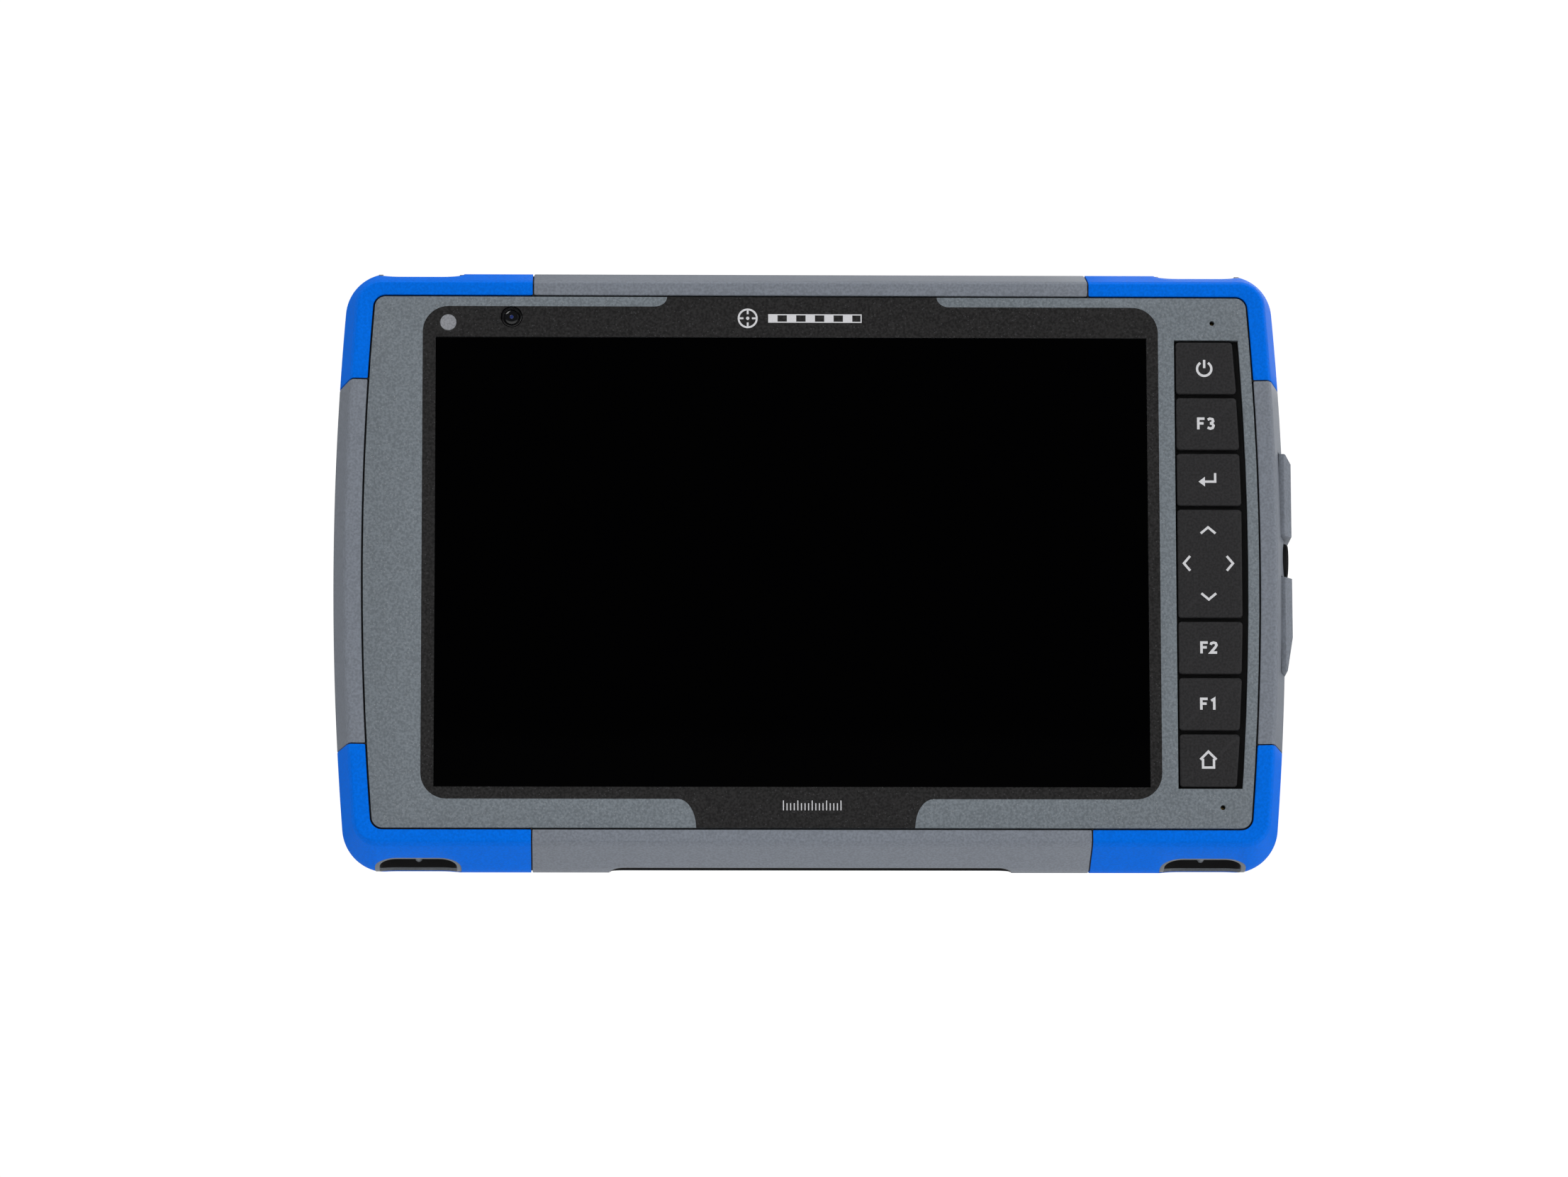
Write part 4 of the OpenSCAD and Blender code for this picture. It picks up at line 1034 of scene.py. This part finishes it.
class COLLECTOR_OT_rails(bpy.types.Operator):
    """Moulds the four grey rails, with the dock recess and the port windows"""
    bl_idname = "collector.rails"
    bl_label = "Rails"

    def execute(self, context):
        section = ring_section()
        plain = {
            "rail_top": loft("rail_top_skin", ring_rows(section, top_stations)),
            "rail_bottom": loft("rail_bottom_skin", ring_rows(section, top_stations), 1, -1),
            "rail_left": loft("rail_left_skin", ring_rows(section, side_stations), -1, 1),
            "rail_right": loft("rail_right_skin", ring_rows(section, side_stations)),
        }
        for piece in plain.values():
            finish_mesh(piece.data)
        carve(plain["rail_bottom"], [dock_cutter()])
        carve(plain["rail_right"], door_cutters())
        for node, piece in plain.items():
            soften(piece, 0.22 * MM, angle=42)
            dress(piece, rail_grey, "case", node)
        dress(seam_tongues(section), seal_black, "case")
        for i, ear in enumerate(hinge_ears()):
            ear.name = f"hinge_ear_{i}"
            dress(ear, rail_grey, "case")
        return {"FINISHED"}


class COLLECTOR_OT_strap_anchors(bpy.types.Operator):
    """Lines the strap pockets and puts a post across each"""
    bl_idname = "collector.strap_anchors"
    bl_label = "Strap anchors"

    def execute(self, context):
        liner = from_cad("strap_liners", "strap_anchors")
        soften(liner, 0.25 * MM)
        dress(liner, anchor_grey, "case", "strap_anchors")
        posts = []
        for right, up, place in corners():
            # Dark sheet over the inner walls of each pocket, below its grey edge: partly the pocket's own
            # dark colour and partly painted shade for the deep hollow.
            wall = lining("pocket_lining_" + place, pocket_outline(0.98 * MM), pocket_outline(1.2 * MM),
                          OUTER_H - 8.65 * MM, 1.0 * MM, right, up)
            dress(wall, seal_black, "case")
            middle = (right * (POST_HIGH.x - POST_R), 0, up * (POST_HIGH.z - POST_R))
            posts.append(lathe("post", [(POST_R, POST_LOW.y), (POST_R, POST_HIGH.y)], middle, 32))
        dress(join("strap_post_pins", posts), anchor_grey, "case", "strap_posts")
        return {"FINISHED"}


# ---- Front -------------------------------------------------------------------------


class COLLECTOR_OT_bezel(bpy.types.Operator):
    """Finishes the bezel plate, the printed mask and the cover glass"""
    bl_idname = "collector.bezel"
    bl_label = "Bezel and display"

    def execute(self, context):
        plate = from_cad("bezel_plate", "bezel_overlay")
        soften(plate, 0.12 * MM, angle=50)
        dress(plate, overlay_grey, "case", "bezel_overlay")
        mask = from_cad("printed_mask", "display_mask")
        dress(mask, mask_black, "case", "display_mask")
        glass = from_cad("display_glass", "cover_glass")
        soften(glass, 0.15 * MM, segments=3)
        dress(glass, screen_glass, "case", "cover_glass")
        return {"FINISHED"}


def printed(name, shapes, material, face_y, body):
    """Ink on a face that looks along -Y."""
    ink = sizes("front").ink
    piece = prism(name, shapes, face_y - ink, face_y + ink, ink / 12)
    return dress(piece, material, body, slot="sensor_window")


def target_mark(x, z, radius):
    """A ring with a cross, as on a survey target."""
    line = 0.42 * MM
    shapes = band(circle(x, z, radius, 48), circle(x, z, radius - line, 48))
    inner, outer = radius * 0.42, radius - line * 0.5
    for angle in (0, 90, 180, 270):
        a = math.radians(angle)
        ends = [(x + r * math.cos(a), z + r * math.sin(a)) for r in (inner, outer)]
        shapes.append(stroke(ends, line))
    shapes.append(circle(x, z, line * 0.9, 16))
    return shapes


def scale_bar(x0, x1, z, height, steps):
    """A plain scale bar: filled and open blocks in turn, between two thin lines."""
    step, line = (x1 - x0) / steps, 0.24 * MM
    low, high, end = z - height / 2, z + height / 2, x1 - line / 2
    shapes = [stroke([(x0, level), (x1, level)], line) for level in (low, high)]
    shapes.append(stroke([(end, low), (end, high)], line))
    for i in range(0, steps, 2):
        x = x0 + i * step
        shapes.append([(x, low), (x + step, low), (x + step, high), (x, high)])
    return shapes


class COLLECTOR_OT_marks(bpy.types.Operator):
    """Prints the plain marks above and below the display"""
    bl_idname = "collector.marks"
    bl_label = "Printed marks"

    def execute(self, context):
        z = (MASK_HIGH.z + GLASS_HIGH.z) / 2 - 0.2 * MM
        printed("target_mark", target_mark(-14.2 * MM, z, 2.25 * MM), legend_white, FACE_Y, "case")
        printed("scale_mark", scale_bar(-9.6 * MM, 11.4 * MM, z, 1.7 * MM, 10),
                legend_white, FACE_Y, "case")
        low = (MASK_LOW.z + GLASS_LOW.z) / 2
        ticks = []
        for i, x in enumerate(blends(-6.4 * MM, 6.4 * MM, 16)):
            rise = (0.9 if i % 4 else 1.5) * MM
            ticks.append(stroke([(x, low - 0.7 * MM), (x, low + rise)], 0.22 * MM))
        printed("tick_mark", ticks, legend_white, FACE_Y, "case")
        return {"FINISHED"}


class COLLECTOR_OT_sensors(bpy.types.Operator):
    """Fits the front camera and the light sensor into the mask"""
    bl_idname = "collector.sensors"
    bl_label = "Camera and light sensor"

    def execute(self, context):
        low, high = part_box("camera_ring")
        lens_low, lens_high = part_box("camera_lens")
        middle = (low + high) / 2
        place = (middle.x, 0, middle.z)
        outer, inner = (high.x - low.x) / 2, (lens_high.x - lens_low.x) / 2
        ring = lathe("camera_rim", [(outer, PLATE_Y), (outer, low.y + 0.25 * MM), (outer - 0.25 * MM, low.y),
                                    (inner + 0.2 * MM, low.y), (inner, low.y + 0.3 * MM),
                                    (inner, PLATE_Y)], place, 64)
        dress(ring, barrel_black, "case", "camera_ring", slot="trim_black")
        y = lens_low.y
        lens = lathe("camera_glass", [(inner, PLATE_Y), (inner, y + 0.25 * MM), (inner * 0.86, y + 0.12 * MM),
                                      (inner * 0.6, y + 0.04 * MM), (inner * 0.3, y), (inner * 0.05, y)],
                     place, 64)
        dress(lens, lens_glass, "case", "camera_lens", crease=60)
        stop = lathe("camera_stop", [(0.42 * MM, y - 0.02 * MM), (0.36 * MM, y - 0.05 * MM)], place, 48)
        dress(stop, iris_blue, "case", slot="trim_black")
        low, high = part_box("light_sensor")
        middle, radius = (low + high) / 2, (high.x - low.x) / 2
        window = lathe("light_window", [(radius, PLATE_Y), (radius, low.y + 0.1 * MM),
                                        (radius - 0.1 * MM, low.y), (radius * 0.1, low.y)],
                       (middle.x, 0, middle.z), 64)
        dress(window, sensor_window, "case", "light_sensor")
        return {"FINISHED"}


# ---- Keypad ------------------------------------------------------------------------


def key_outline(low, high, inset):
    """Outline of a key, whose right edge leans with the bezel's bow."""
    radius = sizes("front").key_corner
    reach = inset + radius
    edge = Outline(FACE_W - 3.7 * MM, FACE_H, sizes("ring").face_corner)
    centres = [(edge.side(high.z)[0] - reach, high.z - reach), (low.x + reach, high.z - reach),
               (low.x + reach, low.z + reach), (edge.side(low.z)[0] - reach, low.z + reach)]
    return rounded_corners(centres, radius)


def key_cap(name, node):
    """A key cap with straight walls, a rounded top edge and a faint crown."""
    low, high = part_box(node)
    fillet, crown = sizes("front").key_fillet, 0.05 * MM
    levels = [(high.y, 0.0), (low.y + fillet + crown, 0.0)]
    for t in (0.25, 0.5, 0.75, 1.0):
        a = t * math.pi / 2
        levels.append((low.y + crown + fillet * (1 - math.sin(a)), fillet * (1 - math.cos(a))))
    levels += [(low.y + 0.02 * MM, fillet + 1.2 * MM), (low.y, fillet + 3.2 * MM)]
    rows = [[(x, y, z) for x, z in key_outline(low, high, inset)] for y, inset in levels]
    return loft(name, rows)


def letter_shapes(word, x, z, height):
    """Outline strokes of the plain key letters F, 1, 2 and 3."""
    w = height * 0.52
    pen = height * 0.2
    h = height / 2 - pen / 2
    glyphs = {
        "F": [[(0.45, 1), (-0.5, 1), (-0.5, -1.15)], [(-0.5, 0.05), (0.3, 0.05)]],
        "1": [[(-0.35, 0.62), (0.1, 1), (0.1, -1.15)]],
        "2": [[(-0.45, 0.55), (-0.36, 0.85), (-0.05, 1), (0.3, 0.88), (0.42, 0.5), (0.25, 0.1),
               (-0.45, -0.98), (0.5, -0.98)]],
        "3": [[(-0.42, 0.78), (-0.1, 1), (0.3, 0.88), (0.4, 0.5), (0.2, 0.12), (-0.08, 0.06)],
              [(-0.08, 0.06), (0.28, -0.04), (0.46, -0.42), (0.32, -0.86), (-0.02, -1), (-0.45, -0.78)]],
    }
    shapes = []
    for i, letter in enumerate(word):
        cx = x + (i - (len(word) - 1) / 2) * w * 1.35
        for line in glyphs[letter]:
            shapes.append(stroke([(cx + u * w, z + v * h) for u, v in line], pen))
    return shapes


def power_shapes(x, z, radius, pen):
    """An open ring with an upright bar through its gap."""
    arc = circle(x, z, radius, 40, math.radians(122), math.radians(418))
    return [stroke(arc, pen), stroke([(x, z + radius * 0.1), (x, z + radius * 1.28)], pen)]


def enter_shapes(x, z, width, pen):
    """An arrow that comes down and turns left."""
    rise = width * 0.36
    right, tip, level = x + width / 2 - pen / 2, x - width / 2, z - rise * 0.35
    barb = tip + width * 0.36
    return [stroke([(right, z + rise), (right, level), (tip + pen, level)], pen),
            [(tip, level), (barb, z + rise * 0.42), (barb, z - rise * 1.12)]]


def chevron_shapes(x, z, reach_x, reach_z, span, pen):
    """Four chevrons that point up, down, left and right."""
    half, rise = span / 2, span * 0.42
    shapes = []
    for s in (-1, 1):
        foot, tip = z + s * (reach_z - rise / 2), z + s * (reach_z + rise / 2)
        shapes.append(stroke([(x - half, foot), (x, tip), (x + half, foot)], pen))
        foot, tip = x + s * (reach_x - rise / 2), x + s * (reach_x + rise / 2)
        shapes.append(stroke([(foot, z - half), (tip, z), (foot, z + half)], pen))
    return shapes


def home_shapes(x, z, width, pen):
    """A house with a pitched roof and an open door."""
    w = width / 2
    return [stroke([(x - w, z + 0.05 * width), (x, z + 0.55 * width), (x + w, z + 0.05 * width)], pen),
            stroke([(x - w * 0.68, z + 0.1 * width), (x - w * 0.68, z - 0.45 * width),
                    (x + w * 0.68, z - 0.45 * width), (x + w * 0.68, z + 0.1 * width)], pen)]


def key_legend(node, x, z):
    """Shapes of the legend that a key carries."""
    pen = sizes("front").stroke
    letters = 2.85 * MM
    return {
        "key_power": lambda: power_shapes(x, z - 0.2 * MM, 1.6 * MM, pen),
        "key_f3": lambda: letter_shapes("F3", x, z, letters),
        "key_enter": lambda: enter_shapes(x, z, 4.0 * MM, pen),
        "key_dpad": lambda: chevron_shapes(x, z, 4.8 * MM, 7.5 * MM, 3.3 * MM, pen),
        "key_f2": lambda: letter_shapes("F2", x, z, letters),
        "key_f1": lambda: letter_shapes("F1", x, z, letters),
        "key_home": lambda: home_shapes(x, z, 3.6 * MM, pen),
    }[node]()


class COLLECTOR_OT_keys(bpy.types.Operator):
    """Moulds the key caps, prints their legends and fits the mat under them"""
    bl_idname = "collector.keys"
    bl_label = "Keys"

    def execute(self, context):
        for node in KEYS:
            cap = key_cap(node + "_cap", node)
            dress(cap, key_black, node, node, crease=50)
            low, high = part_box(node)
            x = low.x + (high.x - low.x) * 0.475
            printed(node + "_legend", key_legend(node, x, (low.z + high.z) / 2), legend_white,
                    low.y + 0.008 * MM, node)
        mat = from_cad("keypad_sheet", "keypad_mat")
        dress(mat, mat_black, "case", "keypad_mat", slot="seal_black")
        return {"FINISHED"}


# ---- Housings and back -------------------------------------------------------------


class COLLECTOR_OT_housings(bpy.types.Operator):
    """Finishes the housings, the battery door and its locks"""
    bl_idname = "collector.housings"
    bl_label = "Housings and battery door"

    def execute(self, context):
        edge = sizes("back").edge
        for node, body, material in (
                ("front_housing", "case", housing_dark), ("rear_housing", "case", housing_dark),
                ("battery_door", "battery_door", housing_dark),
                ("door_lock_upper", "door_lock_upper", trim_black),
                ("door_lock_lower", "door_lock_lower", trim_black)):
            piece = from_cad(node + "_shell", node)
            soften(piece, edge if node == "rear_housing" else edge * 0.6, angle=50)
            dress(piece, material, body, node)
        return {"FINISHED"}


def hex_screw(radius, top, bottom):
    """A button-headed screw seen from the back, with a hexagon socket."""
    hexagon_r, hexagon_deep = 1.3 * MM, 1.3 * MM
    head = lathe("screw_head", [(radius * 0.9, bottom), (radius, bottom + 0.2 * MM),
                                (radius, top - 0.45 * MM), (radius * 0.9, top - 0.18 * MM),
                                (radius * 0.72, top)], (0, 0, 0), 40)
    socket = lathe("screw_socket", [(hexagon_r, top - hexagon_deep), (hexagon_r, top + MM)], (0, 0, 0), 6)
    carve(head, [socket])
    return head


class COLLECTOR_OT_fasteners(bpy.types.Operator):
    """Places the case screws and the knurled bracket inserts"""
    bl_idname = "collector.fasteners"
    bl_label = "Screws and inserts"

    def execute(self, context):
        edge_inset, corner_drop, head_tall = 43.2 * MM, 6.6 * MM, 1.9 * MM
        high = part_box("case_screws")[1]
        reach_x, reach_z = high.x - SCREW_HEAD_R, high.z - SCREW_HEAD_R
        screws = []
        for i, (x, z) in enumerate([(reach_x, reach_z - corner_drop), (reach_x - edge_inset, reach_z)]):
            template = hex_screw(SCREW_HEAD_R, high.y, high.y - head_tall)
            finish_mesh(template.data)
            screws.append(repeat(f"screws_{i}", grid_tree(), template, {
                "Finish": screw_black(), "Centre": (0, 0, 0), "Width": 2 * x, "Height": 2 * z,
                "Across": 2, "Up": 2}))
        dress(join("case_screw_heads", screws), screw_black, "case", "case_screws")
        low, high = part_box("bracket_inserts")
        count = sizes("back").knurls * 2
        template = build("insert", insert_mesh(INSERT_R, INSERT_HOLE_R, low.y, high.y, count))
        finish_mesh(template.data)
        inserts = repeat("knurled_inserts", grid_tree(), template, {
            "Finish": brass(), "Centre": (0, 0, 0), "Width": high.x - low.x - 2 * INSERT_R,
            "Height": high.z - low.z - 2 * INSERT_R, "Across": 2, "Up": 2})
        dress(inserts, brass, "case", "bracket_inserts")
        return {"FINISHED"}


def insert_mesh(radius, hole, back, front, count):
    """A knurled tube along Y with a plain collar at its mouth."""
    work = bmesh.new()
    groove, chamfer = 0.22 * MM, 0.12 * MM
    levels = [(back, 1, hole + 0.3 * MM), (back + 0.4 * MM, 1, hole), (front - 1.2 * MM, 1, hole),
              (front - MM, 0, hole), (front - 0.15 * MM, 0, hole), (front, 0, hole + 0.25 * MM)]
    outer, inner = [], []
    for y, knurled, bore in levels:
        rim, wall = [], []
        for i in range(count):
            a = 2 * math.pi * i / count
            reach = radius - (groove if knurled and i % 2 else 0.0) - (chamfer if y in (back, front) else 0.0)
            rim.append(work.verts.new((reach * math.cos(a), y, reach * math.sin(a))))
            wall.append(work.verts.new((bore * math.cos(a), y, bore * math.sin(a))))
        outer.append(rim)
        inner.append(wall)
    for rings in (outer, inner):
        for low, high in zip(rings, rings[1:]):
            for j in range(count):
                k = (j + 1) % count
                work.faces.new((low[j], low[k], high[k], high[j]))
    for rim, wall in ((outer[0], inner[0]), (outer[-1], inner[-1])):
        for j in range(count):
            k = (j + 1) % count
            work.faces.new((rim[j], rim[k], wall[k], wall[j]))
    bmesh.ops.recalc_face_normals(work, faces=work.faces)
    return work


class COLLECTOR_OT_back_fittings(bpy.types.Operator):
    """Fits the rear camera window, the speaker mesh and the blank rating plate"""
    bl_idname = "collector.back_fittings"
    bl_label = "Back fittings"

    def execute(self, context):
        window = from_cad("rear_window_pane", "rear_window")
        soften(window, 0.2 * MM, segments=3)
        dress(window, lens_glass, "case", "rear_window")
        low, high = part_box("rear_camera")
        x, y, z, lamp_drop = (low.x + high.x) / 2, REAR_Y, (low.z + high.z) / 2, 14 * MM
        iris = lathe("rear_iris", [(3.1 * MM, y - 0.05 * MM), (3.1 * MM, y + 0.02 * MM),
                                   (2.7 * MM, y + 0.03 * MM), (2.5 * MM, y - 0.02 * MM)], (x, 0, z))
        dress(iris, trim_black, "case")
        lamp = lathe("rear_lamp", [(2 * MM, y - 0.05 * MM), (2 * MM, y + 0.02 * MM),
                                   (1.6 * MM, y + 0.04 * MM)], (x, 0, z - lamp_drop))
        dress(lamp, sensor_window, "case")
        plate = from_cad("blank_plate", "rating_plate")
        soften(plate, 0.12 * MM)
        dress(plate, plate_metal, "case", "rating_plate")
        low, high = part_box("speaker")
        wire, count, pitch, half_tall = sizes("back").mesh_wire, 54, 0.5 * MM, 8 * MM
        front = high.y + 0.02 * MM
        start = (low.x + high.x) / 2 - pitch * (count - 1) / 2
        template = block("wire", (-wire / 2, front, -half_tall), (wire / 2, front + wire, half_tall))
        wires = repeat("speaker_wires", row_tree(), template, {
            "Finish": socket_metal(), "Count": count, "Start": (start, 0, (low.z + high.z) / 2),
            "Step": (pitch, 0, 0)})
        dress(wires, socket_metal, "case")
        return {"FINISHED"}


# ---- Ports and dock ----------------------------------------------------------------


def door_taper(node):
    """Wedge that slopes the upper door's top end or the lower door's bottom end into the rail."""
    low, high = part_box(node)
    end, away, slope = (high.z, 1, 2 * MM) if node == "port_door_upper" else (low.z, -1, 8 * MM)
    foot, clear, start = OUTER_W - 0.3 * MM, high.x + MM, end - away * slope
    shape = [(foot, end + away * MM), (foot, end), (high.x, start), (clear, start), (clear, end + away * MM)]
    wedge = prism("wedge", [shape], low.y - MM, high.y + MM)
    finish_mesh(wedge.data)
    return wedge


class COLLECTOR_OT_ports(bpy.types.Operator):
    """Finishes the port doors, their pins and the sockets behind them"""
    bl_idname = "collector.ports"
    bl_label = "Ports and doors"

    def execute(self, context):
        for node in PORT_DOORS:
            door = from_cad(node + "_skin", node)
            carve(door, [door_taper(node)])
            soften(door, 0.35 * MM, segments=3)
            dress(door, rail_grey, node, node)
        for node, material in (("usb_a_socket", socket_metal), ("usb_c_socket", socket_metal),
                               ("audio_socket", trim_black), ("dc_jack", trim_black), ("door_pins", steel)):
            piece = from_cad(node + "_body", node)
            soften(piece, 0.1 * MM, angle=50)
            dress(piece, material, "case", node)
        turned = [(INLET_R - 0.1 * MM, CASE_HIGH.x + 1.6 * MM), (INLET_R - 0.1 * MM, OUTER_W),
                  (INLET_R - 0.4 * MM, OUTER_W + 0.4 * MM), (INLET_R - 0.8 * MM, OUTER_W + 0.2 * MM),
                  (INLET_R - 1.0 * MM, CASE_HIGH.x + 2 * MM)]
        collar = lathe("inlet_collar", turned, (0, INLET.y, INLET.z), 64, "X")
        dress(collar, seal_black, "case")
        return {"FINISHED"}


class COLLECTOR_OT_dock(bpy.types.Operator):
    """Finishes the dock block and its row of sprung contacts"""
    bl_idname = "collector.dock"
    bl_label = "Dock"

    def execute(self, context):
        body = from_cad("dock_body", "dock_block")
        soften(body, 0.2 * MM)
        dress(body, trim_black, "case", "dock_block")
        wall = lining("dock_lining", dock_plan(0), dock_plan(0.2 * MM), OUTER_H - 2.6 * MM, 0.1 * MM,
                      mirror_z=-1)
        dress(wall, trim_black, "case")
        radius = (PIN_HIGH.y - PIN_LOW.y) / 2
        step = (PIN_HIGH.x - PIN_LOW.x - 2 * radius) / (DOCK_PINS - 1)
        template = lathe("contact", [(radius * 0.1, PIN_LOW.z), (radius * 0.62, PIN_LOW.z + 0.08 * MM),
                                     (radius * 0.92, PIN_LOW.z + 0.3 * MM), (radius, PIN_LOW.z + 0.55 * MM),
                                     (radius, PIN_HIGH.z)], (0, 0, 0), 24, axis="Z")
        finish_mesh(template.data, 50)
        contacts = repeat("dock_pins", row_tree(), template, {
            "Finish": contact_gold(), "Count": DOCK_PINS,
            "Start": (PIN_LOW.x + radius, (PIN_LOW.y + PIN_HIGH.y) / 2, 0), "Step": (step, 0, 0)})
        dress(contacts, contact_gold, "case", "dock_contacts", crease=50)
        return {"FINISHED"}


# ---- Carried-over nodes ------------------------------------------------------------


INSIDE = {
    "touch_panel": panel_black, "lcd_panel": panel_black, "display_frame": bare_aluminium,
    "main_gasket": seal_black, "keypad_board": board_green, "front_camera": trim_black,
    "microphones": brass, "port_board": board_green, "main_board": board_green,
    "shield_cans": socket_metal, "heat_spreader": bare_aluminium, "battery_pack": battery_black,
    "battery_contacts": contact_gold, "battery_door_rod": steel, "speaker": trim_black,
    "rear_camera": trim_black, "satellite_antenna": ceramic, "dpad_pivot": steel,
}


class COLLECTOR_OT_inside(bpy.types.Operator):
    """Gives the inner CAD pieces that are kept as they are their materials"""
    bl_idname = "collector.inside"
    bl_label = "Inside"

    def execute(self, context):
        for node, material in INSIDE.items():
            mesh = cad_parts[node].data
            mesh.materials.clear()
            mesh.materials.append(material())
        return {"FINISHED"}


# ---- Stage -------------------------------------------------------------------------


def stage_material(name, base):
    """A plain matt finish for the floor, with a very faint mottle."""
    material, tree, shader, place = blank_material(name)
    tone = tint(tree, noise(tree, place, 3.0), shade(base, 0.985), base)
    tree.links.new(tone, shader.inputs["Base Color"])
    shader.inputs["Roughness"].default_value = 0.9
    shader.inputs["Specular IOR Level"].default_value = 0.1
    return material


def softbox(name, place, aim, size, watts):
    """A rectangular area light that looks at a point."""
    lamp = bpy.data.lights.new(name, "AREA")
    lamp.shape, lamp.size, lamp.size_y = "RECTANGLE", size[0], size[1]
    lamp.energy = watts
    light = bpy.data.objects.new(name, lamp)
    light.location = place
    light.rotation_euler = (Vector(aim) - Vector(place)).to_track_quat("-Z", "Y").to_euler()
    bpy.context.scene.collection.objects.link(light)


def studio_sky():
    """White behind the object, softer where it lights and dim where it would reflect."""
    world = bpy.data.worlds.new("studio")
    bpy.context.scene.world = world
    world.use_nodes = True
    tree = world.node_tree
    back = tree.nodes["Background"]
    path = tree.nodes.new("ShaderNodeLightPath")
    glossy = math_node(tree, "MULTIPLY", path.outputs["Is Glossy Ray"], 0.80)
    dim = math_node(tree, "SUBTRACT", 1.0, glossy)
    seen = math_node(tree, "MULTIPLY", path.outputs["Is Camera Ray"], 0.50)
    strength = math_node(tree, "ADD", math_node(tree, "MULTIPLY", dim, 0.55), seen)
    back.inputs["Color"].default_value = (1, 1, 1, 1)
    tree.links.new(strength, back.inputs["Strength"])


class COLLECTOR_OT_stage(bpy.types.Operator):
    """Sets the floor, the lights, the sky and the camera"""
    bl_idname = "collector.stage"
    bl_label = "Stage"

    def execute(self, context):
        stage = sizes("stage")
        scene = context.scene
        level = Matrix.Translation((0, 0, CAD_LOW.z - stage.floor_drop))
        work = bmesh.new()
        bmesh.ops.create_grid(work, x_segments=2, y_segments=2, size=6, matrix=level)
        floor = build("floor", work)
        floor.data.materials.append(stage_material("floor_pale", (0.86, 0.86, 0.86)))
        studio_sky()
        middle = (CAD_LOW + CAD_HIGH) / 2
        softbox("key_light", (-0.9, -1.3, 1.5), middle, (1.2, 1.2), 15)
        softbox("fill_light", (1.5, -1.2, 0.5), middle, (1.0, 1.4), 6)
        softbox("top_light", (0.0, 0.2, 1.8), middle, (1.6, 1.0), 11)
        softbox("side_light", (1.7, -0.3, 0.1), middle, (0.8, 1.2), 7)
        softbox("back_light", (0.8, 1.8, 0.9), middle, (1.4, 1.0), 12)
        self.place_camera(scene, stage)
        scene.view_settings.view_transform = "Standard"
        scene.view_settings.look = "None"
        return {"FINISHED"}

    def place_camera(self, scene, stage):
        """Puts the camera at its angle and distance from the point it looks at."""
        aim = Vector(stage.aim)
        away = Vector((math.sin(stage.aside) * math.cos(stage.below),
                       -math.cos(stage.aside) * math.cos(stage.below), -math.sin(stage.below)))
        data = bpy.data.cameras.new("camera")
        data.lens, data.sensor_width, data.sensor_fit = stage.lens, 36.0, "HORIZONTAL"
        data.clip_start, data.clip_end = 0.05, 60.0
        camera = bpy.data.objects.new("camera", data)
        scene.collection.objects.link(camera)
        camera.location = aim + away * stage.distance
        turn = (-away).to_track_quat("-Z", "Y").to_matrix() @ Matrix.Rotation(stage.roll, 3, "Z")
        camera.rotation_euler = turn.to_euler()
        scene.camera = camera


# ---- Add-on ------------------------------------------------------------------------


OPERATORS = (
    COLLECTOR_OT_bumpers, COLLECTOR_OT_rails, COLLECTOR_OT_strap_anchors, COLLECTOR_OT_bezel,
    COLLECTOR_OT_marks, COLLECTOR_OT_sensors, COLLECTOR_OT_keys, COLLECTOR_OT_housings,
    COLLECTOR_OT_fasteners, COLLECTOR_OT_back_fittings, COLLECTOR_OT_ports, COLLECTOR_OT_dock,
    COLLECTOR_OT_inside, COLLECTOR_OT_stage,
)
GROUPS = {"ring": COLLECTOR_PG_ring, "front": COLLECTOR_PG_front, "back": COLLECTOR_PG_back,
          "stage": COLLECTOR_PG_stage}


class COLLECTOR_PT_panel(bpy.types.Panel):
    """Lists the steps that build the instrument"""
    bl_idname = "COLLECTOR_PT_panel"
    bl_label = "Field data collector"
    bl_space_type = "VIEW_3D"
    bl_region_type = "UI"
    bl_category = "Collector"

    def draw(self, context):
        for operator in OPERATORS:
            self.layout.operator(operator.bl_idname)
        for name in GROUPS:
            group = sizes(name)
            box = self.layout.box()
            for key in group.bl_rna.properties.keys():
                if key not in ("rna_type", "name"):
                    box.prop(group, key)


def register():
    for name, group in GROUPS.items():
        bpy.utils.register_class(group)
        setattr(bpy.types.Scene, "collector_" + name, PointerProperty(type=group))
    for item in (*OPERATORS, COLLECTOR_PT_panel):
        bpy.utils.register_class(item)


def unregister():
    for item in (COLLECTOR_PT_panel, *reversed(OPERATORS)):
        bpy.utils.unregister_class(item)
    for name, group in GROUPS.items():
        delattr(bpy.types.Scene, "collector_" + name)
        bpy.utils.unregister_class(group)


def main():
    """Builds every piece in order."""
    register()
    for operator in OPERATORS:
        step = operator.bl_idname.split(".")[1]
        getattr(bpy.ops.collector, step)()


if __name__ == "__main__":
    main()
